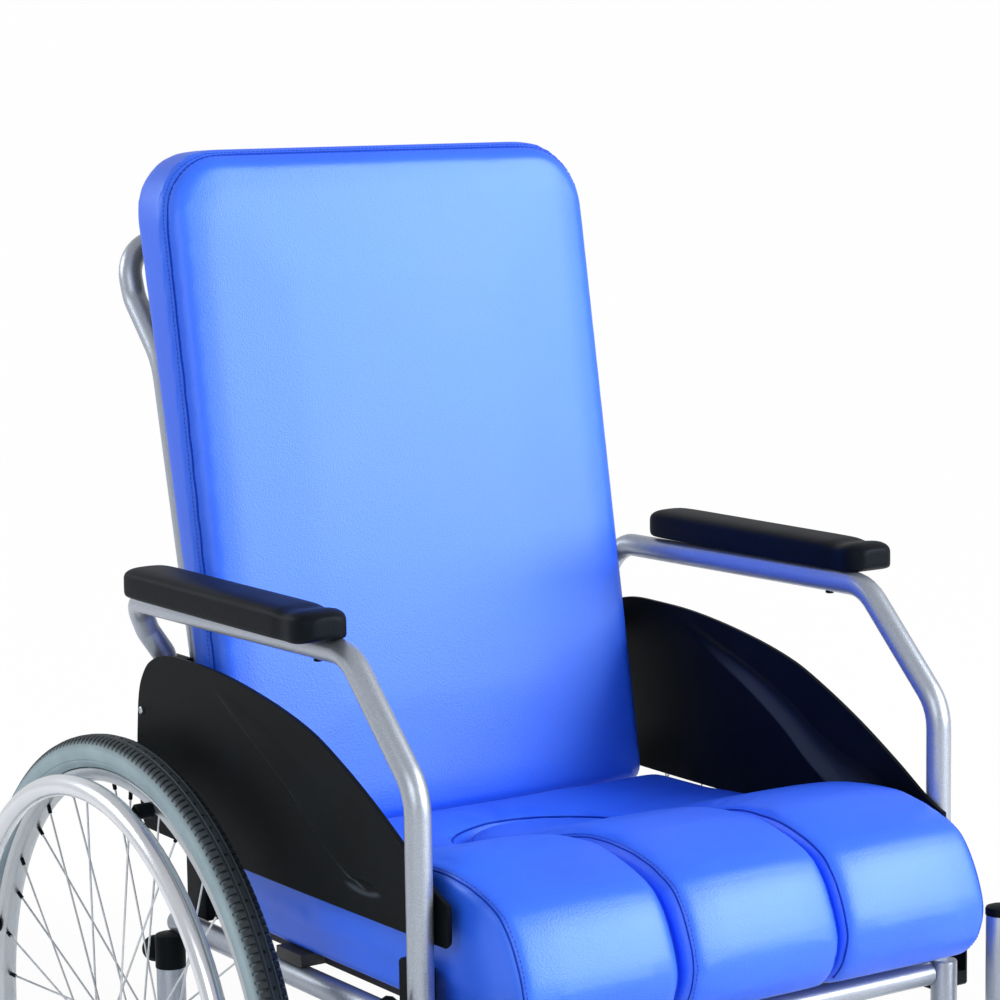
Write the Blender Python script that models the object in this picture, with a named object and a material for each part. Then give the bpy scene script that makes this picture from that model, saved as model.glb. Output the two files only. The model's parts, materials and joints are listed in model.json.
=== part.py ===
"""Self-propelled commode chair, built from named parts in metres.

The chair faces -Y and +X is the sitter's left. Every shape below is drawn in a
frame whose y is 0 at the rear axle and whose z is 0 at the floor. One root empty
carries the parts, so that the finished chair stands centred on the origin.
"""

import math

import bmesh
import bpy
from mathutils import Matrix, Vector

# Sizes measured from the photograph.
GAP = 0.0003
TUBE_R = 0.011
SEAT_HALF = 0.2430
RAIL_X = SEAT_HALF - 0.0055
UPRIGHT_X = RAIL_X + 0.0140
WHEEL_X = SEAT_HALF + 0.0527
WHEEL_R = 0.305
AXLE_Z = WHEEL_R
RIM_R = WHEEL_R - 0.0302
RIM_DEPTH = 0.0128
HANDRIM_X = WHEEL_X + 0.0373
HANDRIM_R = RIM_R - 0.0118
HANDRIM_TUBE_R = 0.010
ARM_X = SEAT_HALF + 0.0297
ARM_TOP_Z = 0.7387
POST_Y = -0.467
PAD_X = ARM_X + 0.0173
PAD_HALF = 0.0255
PANEL_WALL = 0.0040
PANEL_IN = SEAT_HALF + 0.0143
PANEL_OUT = PANEL_IN + PANEL_WALL
BACK_X = SEAT_HALF - 0.0330
INSERT_HALF = 0.0820
INSERT_ARC_Y = -0.260
RAIL_Z = 0.428
SLEEVE_LOW = RAIL_Z - 0.1105
FRONT_Y = POST_Y - 0.0470
HANGER_X = RAIL_X + 0.0305
HANGER_Y = FRONT_Y - 0.0390

# Sizes chosen for the parts that the photograph crops off.
HINGE_X = BACK_X + 0.0305
HINGE_Y = 0.0150
HINGE_Z = 0.6560
HINGE_PIN_R = 0.0045
AXLE_R = 0.0060
BORE_R = 0.0065
LOWER_RAIL_Z = 0.262
SWIVEL_Y = FRONT_Y + 0.0290
TRAIL = 0.040
CASTOR_R = 0.100
CASTOR_HALF = 0.0125
STEM_R = 0.0075
CASTOR_PIN_R = 0.004
SHOE_BAR = (-WHEEL_R - 0.0010, AXLE_Z + 0.0950)
SHOE_Y = SHOE_BAR[0] - 0.0290
SHOE_Z = SHOE_BAR[1] - 0.0180
BRAKE_Y = SHOE_Y - 0.0150
BRAKE_Z = SHOE_Z + 0.0230
HANGER_Z = RAIL_Z - 0.0640
FOOT_TOP = Vector((HANGER_X, HANGER_Y - 0.0570, HANGER_Z - 0.0120))
FOOT_LOW = FOOT_TOP + Vector((-0.0160, -0.1060, -0.2240))
PLATE_X = HANGER_X - 0.0360
PLATE_Z = 0.1120
PLATE_FRONT = -0.880
RAIL_FOOT_Z = 0.4050
CUP_LOW = RAIL_Z - 0.0350

# The chair reaches from the front of the footplates to the back of the tyres.
ROOT_Y = -(PLATE_FRONT + WHEEL_R) / 2

for old in list(bpy.data.objects):
    bpy.data.objects.remove(old, do_unlink=True)

ROOT = bpy.data.objects.new("chair_root", None)
bpy.context.scene.collection.objects.link(ROOT)
ROOT.location = (0.0, ROOT_Y, 0.0)


def material(name, colour, roughness, metallic=0.0):
    """One Principled material."""
    made = bpy.data.materials.new(name)
    made.use_nodes = True
    shader = made.node_tree.nodes["Principled BSDF"]
    shader.inputs["Base Color"].default_value = (*colour, 1.0)
    shader.inputs["Roughness"].default_value = roughness
    shader.inputs["Metallic"].default_value = metallic
    return made


VINYL = material("blue_vinyl", (0.055, 0.19, 0.80), 0.42)
SILVER = material("silver_paint", (0.40, 0.45, 0.52), 0.35, 0.35)
BLACK = material("black_plastic", (0.012, 0.013, 0.016), 0.45)
PAD = material("black_foam_skin", (0.010, 0.010, 0.011), 0.50)
TYRE_GREY = material("grey_tyre", (0.17, 0.21, 0.25), 0.75)
ALLOY = material("rim_alloy", (0.55, 0.60, 0.64), 0.30, 0.8)
BRIGHT = material("handrim_alloy", (0.80, 0.83, 0.88), 0.22, 0.8)
STEEL = material("spoke_steel", (0.62, 0.65, 0.68), 0.28, 0.9)
BOARD = material("dark_board", (0.030, 0.031, 0.034), 0.65)
PAN_WHITE = material("pan_plastic", (0.70, 0.72, 0.72), 0.38)


# Shapes. Each one adds itself to a bmesh, or returns a new one.

def ring_faces(mesh, rings, close_ends=True, closed_path=False):
    """Skin a list of point rings that all have the same length."""
    rows = [[mesh.verts.new(point) for point in ring] for ring in rings]
    count = len(rows[0])
    spans = list(zip(rows, rows[1:]))
    if closed_path:
        spans.append((rows[-1], rows[0]))
    for low, high in spans:
        for i in range(count):
            j = (i + 1) % count
            mesh.faces.new((low[i], low[j], high[j], high[i]))
    if close_ends and not closed_path:
        mesh.faces.new(list(reversed(rows[0])))
        mesh.faces.new(rows[-1])


def finished(mesh):
    """Turn every face outward."""
    bmesh.ops.recalc_face_normals(mesh, faces=mesh.faces)
    return mesh


def rounded_path(corners, radii, steps=4):
    """A path through corners, each rounded to its own bend radius."""
    points = [Vector(corners[0])]
    for before, corner, after, radius in zip(corners, corners[1:], corners[2:], radii):
        here = Vector(corner)
        way_in = (here - Vector(before)).normalized()
        way_out = (Vector(after) - here).normalized()
        angle = way_in.angle(way_out)
        if radius <= 0 or angle < 0.02:
            points.append(here)
            continue
        reach = radius * math.tan(angle / 2)
        start = here - way_in * reach
        axis = way_in.cross(way_out).normalized()
        centre = start + axis.cross(way_in) * radius
        for k in range(steps + 1):
            turn = Matrix.Rotation(angle * k / steps, 3, axis)
            points.append(centre + turn @ (start - centre))
    points.append(Vector(corners[-1]))
    return points


def tube(path, radius, sides=12, mesh=None):
    """A round bar swept along a path, with square ends."""
    mesh = mesh or bmesh.new()
    path = [Vector(point) for point in path]
    tangents = []
    for i, point in enumerate(path):
        before = path[max(i - 1, 0)]
        after = path[min(i + 1, len(path) - 1)]
        first = (point - before).normalized() if i else Vector((0, 0, 0))
        second = (after - point).normalized() if i < len(path) - 1 else Vector((0, 0, 0))
        tangents.append((first + second).normalized())
    across = tangents[0].orthogonal().normalized()
    if abs(tangents[0].x) < 0.9:
        across = (Vector((1, 0, 0)) - tangents[0] * tangents[0].x).normalized()
    rings = []
    for i, (point, along) in enumerate(zip(path, tangents)):
        across = (across - along * across.dot(along)).normalized()
        other = along.cross(across)
        stretch = 1.0
        if 0 < i < len(path) - 1:
            bend = (path[i + 1] - point).normalized().angle((point - path[i - 1]).normalized())
            stretch = 1.0 / math.cos(bend / 2)
        ring = []
        turn_axis = None
        if stretch > 1.0001:
            turn_axis = (path[i + 1] - point).normalized().cross((point - path[i - 1]).normalized())
            turn_axis = along.cross(turn_axis).normalized()
        for k in range(sides):
            angle = 2 * math.pi * (k + 0.5) / sides
            offset = (across * math.cos(angle) + other * math.sin(angle)) * radius
            if turn_axis:
                offset += turn_axis * offset.dot(turn_axis) * (stretch - 1.0)
            ring.append(point + offset)
        rings.append(ring)
    ring_faces(mesh, rings)
    return finished(mesh)


def rod(start, end, radius, sides=12, mesh=None):
    return tube([start, end], radius, sides, mesh)


def revolved(profile, centre, steps, axis="X", loop=True, mesh=None):
    """Turn a profile of (radius, offset along the axis) pairs about an axis.

    The flats of the turned shape touch the stated radii, and one flat faces down.
    A profile that isn't a loop starts and ends on the axis.
    """
    mesh = mesh or bmesh.new()
    centre = Vector(centre)
    grow = 1.0 / math.cos(math.pi / steps)
    along = {"X": Vector((1, 0, 0)), "Y": Vector((0, 1, 0)), "Z": Vector((0, 0, 1))}[axis]
    first = Vector((0, 0, -1)) if axis != "Z" else Vector((0, -1, 0))
    second = along.cross(first)
    rows = []
    for radius, offset in profile:
        if radius == 0:
            rows.append([mesh.verts.new(centre + along * offset)])
            continue
        row = []
        for k in range(steps):
            angle = 2 * math.pi * (k + 0.5) / steps
            out = (first * math.cos(angle) + second * math.sin(angle)) * radius * grow
            row.append(mesh.verts.new(centre + along * offset + out))
        rows.append(row)
    pairs = list(zip(rows, rows[1:]))
    if loop:
        pairs.append((rows[-1], rows[0]))
    for low, high in pairs:
        for i in range(steps):
            j = (i + 1) % steps
            corners = [low[i % len(low)], low[j % len(low)], high[j % len(high)], high[i % len(high)]]
            corners = list(dict.fromkeys(corners))
            mesh.faces.new(corners)
    return finished(mesh)


def disc(radius, low, high, centre, steps=16, axis="X", mesh=None):
    """A plain cylinder about an axis."""
    profile = [(0, low), (radius, low), (radius, high), (0, high)]
    return revolved(profile, centre, steps, axis, False, mesh)


def box(low, high, mesh=None, bevel=0.0):
    """A block from corner to corner, with its edges cut if a bevel is given."""
    own = bmesh.new()
    bmesh.ops.create_cube(own, size=1.0)
    size = [b - a for a, b in zip(low, high)]
    middle = [(a + b) / 2 for a, b in zip(low, high)]
    bmesh.ops.scale(own, vec=size, verts=own.verts)
    bmesh.ops.translate(own, vec=middle, verts=own.verts)
    if bevel:
        bmesh.ops.bevel(own, geom=own.edges[:], offset=bevel, segments=1, affect="EDGES")
    return merged(own, mesh)


def prism(outline, low, high, plane="YZ", mesh=None):
    """An outline pushed from low to high along the axis that its plane leaves out."""
    own = bmesh.new()
    order = {"YZ": (1, 2, 0), "XZ": (0, 2, 1), "XY": (0, 1, 2)}[plane]
    rings = []
    for level in (low, high):
        ring = []
        for a, b in outline:
            point = [0.0, 0.0, 0.0]
            point[order[0]] = a
            point[order[1]] = b
            point[order[2]] = level
            ring.append(point)
        rings.append(ring)
    ring_faces(own, rings)
    return merged(finished(own), mesh)


def merged(own, mesh):
    """Move one bmesh into another, or keep it where there is no other."""
    if mesh is None:
        return own
    holder = bpy.data.meshes.new("holder")
    own.to_mesh(holder)
    own.free()
    mesh.from_mesh(holder)
    bpy.data.meshes.remove(holder)
    return mesh


def as_object(mesh, name="operand"):
    data = bpy.data.meshes.new(name)
    mesh.to_mesh(data)
    mesh.free()
    made = bpy.data.objects.new(name, data)
    bpy.context.scene.collection.objects.link(made)
    return made


def combined(base, joins=(), cuts=(), crossed=False):
    """The base with other shapes joined to it and cut from it, as one bmesh."""
    whole = as_object(base)
    helpers = []
    for shapes, operation in ((joins, "UNION"), (cuts, "DIFFERENCE")):
        for shape in shapes:
            helper = as_object(shape)
            helpers.append(helper)
            step = whole.modifiers.new(operation.lower(), "BOOLEAN")
            step.operation = operation
            step.solver = "EXACT"
            step.use_self = crossed
            step.object = helper
    graph = bpy.context.evaluated_depsgraph_get()
    data = bpy.data.meshes.new_from_object(whole.evaluated_get(graph))
    result = bmesh.new()
    result.from_mesh(data)
    bmesh.ops.remove_doubles(result, verts=result.verts, dist=1e-6)
    bmesh.ops.dissolve_limit(
        result, angle_limit=0.0005, verts=result.verts, edges=result.edges
    )
    bpy.data.meshes.remove(data)
    for spent in [*helpers, whole]:
        bpy.data.objects.remove(spent, do_unlink=True)
    return result


def part(name, mesh, surface, pivot=(0.0, 0.0, 0.0), sharp=35.0):
    """One named node whose origin stands on its pivot."""
    bmesh.ops.translate(mesh, vec=-Vector(pivot), verts=mesh.verts)
    data = bpy.data.meshes.new(name)
    mesh.to_mesh(data)
    mesh.free()
    data.materials.append(surface)
    data.shade_smooth()
    data.set_sharp_from_angle(angle=math.radians(sharp))
    made = bpy.data.objects.new(name, data)
    bpy.context.scene.collection.objects.link(made)
    made.parent = ROOT
    made.location = pivot
    return made


def mirrored(mesh):
    """The same shape on the chair's other side."""
    other = mesh.copy()
    bmesh.ops.scale(other, vec=(-1, 1, 1), verts=other.verts)
    bmesh.ops.reverse_faces(other, faces=other.faces)
    return other


def pair(stem, mesh, surface, pivot=(0.0, 0.0, 0.0), sharp=35.0):
    """The left part as drawn, and the right part as its mirror image."""
    other = mirrored(mesh)
    part(stem + "_left", mesh, surface, pivot, sharp)
    part(stem + "_right", other, surface, (-pivot[0], pivot[1], pivot[2]), sharp)


# The big wheels.

AXLE = (WHEEL_X, 0.0, AXLE_Z)
WHEEL_STEPS = 44
TYRE_SECTION = [
    (WHEEL_R, -0.0045), (WHEEL_R, 0.0045), (WHEEL_R - 0.0060, 0.0135), (WHEEL_R - 0.0180, 0.0160),
    (RIM_R + 0.0004, 0.0085), (RIM_R + 0.0004, -0.0085), (WHEEL_R - 0.0180, -0.0160),
    (WHEEL_R - 0.0060, -0.0135),
]
RIM_IN = RIM_R - RIM_DEPTH
RIM_SECTION = [
    (RIM_R, -0.0078), (RIM_R, 0.0078), (RIM_R - 0.0058, 0.0112),
    (RIM_IN, 0.0055), (RIM_IN, -0.0055), (RIM_R - 0.0058, -0.0112),
]
pair("tyre", revolved(TYRE_SECTION, AXLE, WHEEL_STEPS), TYRE_GREY, AXLE)
pair("rim", revolved(RIM_SECTION, AXLE, WHEEL_STEPS), ALLOY, AXLE)

HANDRIM_OFFSET = HANDRIM_X - WHEEL_X
HANDRIM_SIDES = 7
HANDRIM_SECTION = [
    (HANDRIM_R + HANDRIM_TUBE_R * math.cos(math.tau * k / HANDRIM_SIDES),
     HANDRIM_OFFSET + HANDRIM_TUBE_R * math.sin(math.tau * k / HANDRIM_SIDES))
    for k in range(HANDRIM_SIDES)
]
SPACER_R = HANDRIM_R + 0.0035
SPACER_OUT = HANDRIM_X - 0.005
spacers = bmesh.new()
for k in range(4):
    turn = math.radians(90 * k + 16.875)
    y = SPACER_R * math.cos(turn)
    z = AXLE_Z + SPACER_R * math.sin(turn)
    rod((WHEEL_X + 0.0115, y, z), (SPACER_OUT, y, z), 0.0055, 6, spacers)
handrim = revolved(HANDRIM_SECTION, AXLE, WHEEL_STEPS)
pair("handrim", combined(handrim, [spacers]), BRIGHT, AXLE)

# The hub carries 36 spokes: nine crossed pairs to each flange.
HUB_SECTION = [
    (BORE_R, -0.0275), (0.0150, -0.0275), (0.0270, -0.0245), (0.0270, -0.0215),
    (0.0130, -0.0200), (0.0130, 0.0200), (0.0270, 0.0215), (0.0270, 0.0245),
    (0.0150, 0.0330), (BORE_R, 0.0330),
]
SPOKE_R = 0.0012
SPOKE_HUB_R = 0.0252
SPOKE_END_R = RIM_IN - 0.0006
spokes = bmesh.new()
for k in range(36):
    flange = 1 if k % 2 else -1
    lean = 1 if k % 4 < 2 else -1
    at_rim = math.radians(10 * k + 5)
    at_hub = at_rim + lean * math.radians(64)
    lift = 0.0237 if lean > 0 else 0.0223
    start = Vector(
        (WHEEL_X + flange * lift, SPOKE_HUB_R * math.cos(at_hub), AXLE_Z + SPOKE_HUB_R * math.sin(at_hub))
    )
    end = Vector(
        (WHEEL_X + flange * 0.0028, SPOKE_END_R * math.cos(at_rim), AXLE_Z + SPOKE_END_R * math.sin(at_rim))
    )
    tube([start, end], SPOKE_R, 3, spokes)
hub = revolved(HUB_SECTION, AXLE, 12)
pair("hub_spokes", combined(hub, [spokes], crossed=True), STEEL, AXLE)

# The quick-release axle passes through the upright and the hub.
AXLE_PROFILE = [
    (0, UPRIGHT_X - 0.0175), (AXLE_R, UPRIGHT_X - 0.0175), (AXLE_R, WHEEL_X + 0.0335),
    (0.0115, WHEEL_X + 0.0335), (0.0115, WHEEL_X + 0.0383), (0.0070, WHEEL_X + 0.0408), (0, WHEEL_X + 0.0413),
]
axle = revolved(AXLE_PROFILE, (0.0, 0.0, AXLE_Z), 12, "X", False)
pair("axle", axle, STEEL)

# One welded side frame: seat rail, rear upright, lower rail, front upright,
# castor housing and the lug that carries the footrest hanger.
rail = rod((RAIL_X, 0.012, RAIL_Z), (RAIL_X, FRONT_Y + 0.0110, RAIL_Z), TUBE_R)
upright = rod((UPRIGHT_X, 0.0, LOWER_RAIL_Z - 0.0260), (UPRIGHT_X, 0.0, RAIL_Z - 0.0100), 0.0135)
lower_rail = rod((UPRIGHT_X, 0.0, LOWER_RAIL_Z), (RAIL_X, FRONT_Y, LOWER_RAIL_Z), 0.010)
front_upright = rod((RAIL_X, FRONT_Y, LOWER_RAIL_Z - 0.0120), (RAIL_X, FRONT_Y, RAIL_Z + 0.0020), 0.0115)
HOUSING_LOW = LOWER_RAIL_Z - 0.0395
swivel = (RAIL_X, SWIVEL_Y, 0.0)
housing = disc(0.0160, HOUSING_LOW, LOWER_RAIL_Z + 0.0120, swivel, 14, "Z")
housing_rib = box((RAIL_X - 0.006, FRONT_Y, LOWER_RAIL_Z - 0.0240), (RAIL_X + 0.006, SWIVEL_Y, LOWER_RAIL_Z))
lug_end = (HANGER_X + 0.012, FRONT_Y + 0.006, SLEEVE_LOW - 0.0005)
lug = box((RAIL_X, HANGER_Y - 0.012, SLEEVE_LOW - 0.0115), lug_end)
pivot_pin = rod((HANGER_X, HANGER_Y, SLEEVE_LOW - 0.0075), (HANGER_X, HANGER_Y, RAIL_Z + 0.0120), 0.0070)
axle_bore = rod((UPRIGHT_X - 0.0315, 0.0, AXLE_Z), (UPRIGHT_X + 0.0285, 0.0, AXLE_Z), BORE_R)
stem_bore = disc(STEM_R + 0.0006, HOUSING_LOW - 0.0225, LOWER_RAIL_Z + 0.0040, swivel, 12, "Z")
side_frame = combined(
    rail,
    [upright, lower_rail, front_upright, housing, housing_rib, lug, pivot_pin],
    [axle_bore, stem_bore],
)
pair("side_frame", side_frame, SILVER)

# Cross tubes hold the two side frames apart.
CROSS_END = RAIL_X - 0.0115 - GAP * 2
CROSS_AT = (FRONT_Y + 0.0070, RAIL_Z - 0.0100)
part("front_cross_tube", rod((-CROSS_END, *CROSS_AT), (CROSS_END, *CROSS_AT), 0.0105), SILVER)
REAR_END = UPRIGHT_X - 0.0135 - GAP
REAR_AT = (0.0, LOWER_RAIL_Z - 0.0140)
part("rear_cross_tube", rod((-REAR_END, *REAR_AT), (REAR_END, *REAR_AT), 0.0105), SILVER)


def post_line(z):
    """Centre of the leaning back post at a height."""
    return 0.0035 + 0.222 * (z - 0.69)


# The back posts and the push bar are one bent tube.
PUSH_CORNERS = [
    (BACK_X, post_line(0.425), 0.425), (BACK_X, post_line(0.945), 0.945),
    (BACK_X, 0.1130, 1.0000), (BACK_X, 0.1310, 1.0510),
]
PUSH_CORNERS += [(-x, y, z) for x, y, z in reversed(PUSH_CORNERS)]
PUSH_BENDS = [0.06, 0.03, 0.036, 0.036, 0.03, 0.06]
push_path = rounded_path(PUSH_CORNERS, PUSH_BENDS, 3)
part("push_bar_frame", tube(push_path, TUBE_R, 10), SILVER)
BACK_TUBE_Z = 0.600
BACK_TUBE_END = BACK_X - TUBE_R - GAP
back_tube_y = post_line(BACK_TUBE_Z)
part(
    "back_cross_tube",
    rod((-BACK_TUBE_END, back_tube_y, BACK_TUBE_Z), (BACK_TUBE_END, back_tube_y, BACK_TUBE_Z), 0.009),
    SILVER,
)

# The clamp at the foot of each back post, with its small release lever.
FOOT_Y = post_line(0.500)
CLAMP_LOW = RAIL_Z + TUBE_R + 0.0004
clamp = box((BACK_X + TUBE_R + GAP, FOOT_Y - 0.008, CLAMP_LOW), (RAIL_X, FOOT_Y + 0.030, 0.5400), None, 0.002)
strap = box((BACK_X - 0.010, FOOT_Y + 0.0235, 0.4900), (RAIL_X - 0.001, FOOT_Y + 0.0295, 0.5360))
lever = box((BACK_X + 0.014, FOOT_Y + 0.020, 0.5080), (RAIL_X - 0.003, FOOT_Y + 0.066, 0.5200), None, 0.002)
pair("post_clamp", combined(clamp, [strap, lever]), BLACK)

# The ball knob that locks the rear upright.
KNOB = (UPRIGHT_X, 0.030, 0.400)
KNOB_PROFILE = [(0, -0.0160), (0.0045, -0.0160), (0.0045, -0.0090)]
KNOB_PROFILE += [
    (0.012 * math.sin(math.radians(a)), -0.012 * math.cos(math.radians(a))) for a in (40, 65, 90, 115, 145)
]
KNOB_PROFILE += [(0, 0.012)]
knob = revolved(KNOB_PROFILE, KNOB, 10, "Y", False)
pair("frame_knob", knob, BLACK, KNOB)

# Castors: fork, tyre, wheel centre and axle bolt.
CASTOR = (RAIL_X, SWIVEL_Y + TRAIL, CASTOR_R)
STEM = (RAIL_X, SWIVEL_Y, 0.0)
FORK_IN = 0.0185
FORK_OUT = 0.0225
crown = box(
    (RAIL_X - FORK_OUT, SWIVEL_Y - 0.020, 0.2100), (RAIL_X + FORK_OUT, SWIVEL_Y + 0.034, 0.2190), None, 0.0015
)
stem = disc(STEM_R, 0.2150, 0.2620, STEM, 12, "Z")
LEG = [
    (SWIVEL_Y - 0.018, 0.2150), (SWIVEL_Y + 0.032, 0.2150), (CASTOR[1] + 0.012, 0.1060),
    (CASTOR[1] + 0.010, 0.0920), (CASTOR[1], 0.0880), (CASTOR[1] - 0.010, 0.0920),
    (CASTOR[1] - 0.013, 0.1060),
]
leg_out = prism(LEG, RAIL_X + FORK_IN, RAIL_X + FORK_OUT)
leg_in = prism(LEG, RAIL_X - FORK_OUT, RAIL_X - FORK_IN)
bolt_hole = rod(
    (RAIL_X - 0.04, CASTOR[1], CASTOR_R), (RAIL_X + 0.04, CASTOR[1], CASTOR_R), CASTOR_PIN_R + 0.0006, 10
)
pair("castor_fork", combined(crown, [stem, leg_out, leg_in], [bolt_hole]), BLACK, STEM)
CASTOR_TYRE_SECTION = [
    (CASTOR_R, -0.0050), (CASTOR_R, 0.0050), (0.0940, CASTOR_HALF),
    (0.0803, 0.0105), (0.0803, -0.0105), (0.0940, -CASTOR_HALF),
]
pair("castor_tyre", revolved(CASTOR_TYRE_SECTION, CASTOR, 30), TYRE_GREY, CASTOR)
CASTOR_HUB_SECTION = [
    (CASTOR_PIN_R + 0.0007, -0.0165), (0.0140, -0.0165), (0.0180, -0.0060), (0.0680, -0.0045),
    (0.0720, -0.0095), (0.0787, -0.0095), (0.0787, 0.0095), (0.0720, 0.0095),
    (0.0680, 0.0045), (0.0180, 0.0060), (0.0140, 0.0165), (CASTOR_PIN_R + 0.0007, 0.0165),
]
pair("castor_hub", revolved(CASTOR_HUB_SECTION, CASTOR, 16), BLACK, CASTOR)
BOLT_PROFILE = [
    (0, -0.0275), (0.0065, -0.0275), (0.0065, -FORK_OUT - GAP), (CASTOR_PIN_R, -FORK_OUT - GAP),
    (CASTOR_PIN_R, FORK_OUT + GAP), (0.0065, FORK_OUT + GAP), (0.0065, 0.0275), (0, 0.0275),
]
pair("castor_bolt", revolved(BOLT_PROFILE, CASTOR, 10, "X", False), STEEL, CASTOR)

# Footrest hangers turn on the side frames' pins; the height posts slide in them.
FOOT_WAY = (FOOT_LOW - FOOT_TOP).normalized()
HANGER_END = FOOT_TOP + FOOT_WAY * 0.150
POST_START = FOOT_TOP + FOOT_WAY * 0.082
sleeve = rod((HANGER_X, HANGER_Y, SLEEVE_LOW), (HANGER_X, HANGER_Y, RAIL_Z + 0.0520), 0.0130)
sleeve_bore = rod((HANGER_X, HANGER_Y, SLEEVE_LOW - 0.0175), (HANGER_X, HANGER_Y, RAIL_Z + 0.0150), 0.0077)
hanger_path = rounded_path(
    [(HANGER_X, HANGER_Y - 0.004, HANGER_Z), (HANGER_X, FOOT_TOP.y + 0.004, HANGER_Z), HANGER_END], [0.026], 4
)
post_bore = rod(POST_START - FOOT_WAY * 0.055, HANGER_END + FOOT_WAY * 0.010, 0.0084)
hanger = combined(sleeve, [tube(hanger_path, 0.0115)], [sleeve_bore, post_bore])
pair("footrest_hanger", hanger, SILVER, (HANGER_X, HANGER_Y, 0.0))
FOOT_PIN_Y = -0.7340
foot_rod = rod(POST_START, FOOT_LOW, 0.0078)
foot_block = box(
    (PLATE_X - 0.0105, FOOT_PIN_Y, PLATE_Z - 0.0095),
    (FOOT_LOW.x + 0.011, FOOT_LOW.y + 0.012, PLATE_Z + 0.026),
    None, 0.002,
)
foot_pin = rod((PLATE_X, FOOT_LOW.y, PLATE_Z), (PLATE_X, -0.8010, PLATE_Z), 0.0050, 10)
pair("footrest_post", combined(foot_rod, [foot_block, foot_pin]), SILVER, tuple(FOOT_LOW))

# Footplates fold up on those pins.
PLATE_IN = 0.0350
PLATE_BACK = FOOT_PIN_Y - 0.0015
PLATE_TOP = PLATE_Z + 0.0060
NOTCH_Y = -0.8110
plate_outline = [
    (PLATE_IN, PLATE_BACK + 0.0), (PLATE_IN, PLATE_FRONT + 0.030), (PLATE_IN + 0.010, PLATE_FRONT + 0.008),
    (PLATE_IN + 0.034, PLATE_FRONT), (PLATE_X - 0.0270, PLATE_FRONT), (PLATE_X - 0.0020, PLATE_FRONT + 0.010),
    (PLATE_X + 0.0060, PLATE_FRONT + 0.034), (PLATE_X + 0.0060, NOTCH_Y), (PLATE_X - 0.0120, NOTCH_Y),
    (PLATE_X - 0.0120, PLATE_BACK),
]
plate = prism(plate_outline, PLATE_TOP - 0.0120, PLATE_TOP, "XY")
KNUCKLE_END = NOTCH_Y + 0.0020
knuckle = rod((PLATE_X, PLATE_BACK, PLATE_Z), (PLATE_X, KNUCKLE_END, PLATE_Z), 0.0095)
web = box((PLATE_X - 0.0170, KNUCKLE_END, PLATE_Z - 0.0055), (PLATE_X, PLATE_BACK - 0.002, PLATE_Z + 0.0055))
knuckle_bore = rod((PLATE_X, -0.720, PLATE_Z), (PLATE_X, -0.8025, PLATE_Z), 0.0056, 10)
pair("footplate", combined(plate, [knuckle, web], [knuckle_bore]), BLACK, (PLATE_X, PLATE_BACK, PLATE_Z))

# Wheel brakes: bracket on the seat rail, hand lever, and the shoe it drives.
BRACKET_IN = RAIL_X + TUBE_R + GAP
SHOE_IN = BRACKET_IN + 0.0072
SHOE_OUT = SHOE_IN + 0.0060
LEVER_IN = SHOE_OUT + 0.0020
LEVER_OUT = LEVER_IN + 0.0050
BRACKET_TOP = max(RAIL_Z + 0.0020, BRAKE_Z + 0.0250)
bracket_end = (BRACKET_IN + 0.004, SHOE_Y + 0.0170, BRACKET_TOP)
BRACKET_FRONT = BRAKE_Y - 0.0400
bracket = box((BRACKET_IN, BRACKET_FRONT, SHOE_Z - 0.0160), bracket_end)
hook_end = (BRACKET_IN + 0.003, SHOE_Y + 0.0090, RAIL_Z - TUBE_R - GAP)
hook = box((RAIL_X, BRAKE_Y - 0.0300, RAIL_Z - 0.0150), hook_end)
lever_pin = rod((BRACKET_IN + 0.002, BRAKE_Y, BRAKE_Z), (LEVER_OUT + 0.0010, BRAKE_Y, BRAKE_Z), 0.004, 10)
shoe_pin = rod((BRACKET_IN + 0.002, SHOE_Y, SHOE_Z), (SHOE_OUT + 0.0035, SHOE_Y, SHOE_Z), 0.0035, 10)
pair("brake_bracket", combined(bracket, [hook, lever_pin, shoe_pin]), BLACK)
lever_plate = disc(0.0110, LEVER_IN, LEVER_OUT, (0.0, BRAKE_Y, BRAKE_Z), 12)
GRIP_X = LEVER_IN + 0.0360
arm_path = rounded_path(
    [(LEVER_IN + 0.0025, BRAKE_Y - 0.002, BRAKE_Z), (LEVER_IN + 0.0060, BRAKE_Y - 0.022, BRAKE_Z + 0.004),
     (LEVER_IN + 0.0350, BRAKE_Y - 0.046, BRAKE_Z + 0.0190), (GRIP_X, BRAKE_Y - 0.1040, BRAKE_Z + 0.0610)],
    [0.012, 0.020], 3
)
grip_low = (GRIP_X, BRAKE_Y - 0.0840, BRAKE_Z + 0.04693)
grip_high = (GRIP_X, BRAKE_Y - 0.1140, BRAKE_Z + 0.0680)
knob_rod = rod(grip_low, grip_high, 0.0095, 10)
lever_bore = rod((LEVER_IN - 0.0140, BRAKE_Y, BRAKE_Z), (LEVER_IN + 0.0360, BRAKE_Y, BRAKE_Z), 0.0046, 10)
brake_lever = combined(lever_plate, [tube(arm_path, 0.0042, 6), knob_rod], [lever_bore])
pair("brake_lever", brake_lever, BLACK, (LEVER_IN, BRAKE_Y, BRAKE_Z))
shoe_eye = disc(0.0085, SHOE_IN, SHOE_OUT, (0.0, SHOE_Y, SHOE_Z), 12)
shoe_outline = [
    (SHOE_Y - 0.004, SHOE_Z + 0.004), (SHOE_Y + 0.005, SHOE_Z - 0.005),
    (SHOE_BAR[0] + 0.0030, SHOE_BAR[1] - 0.0040), (SHOE_BAR[0] - 0.0020, SHOE_BAR[1] + 0.0045),
]
shoe_arm = prism(shoe_outline, SHOE_IN + 0.0005, SHOE_OUT - 0.0005)
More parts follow.
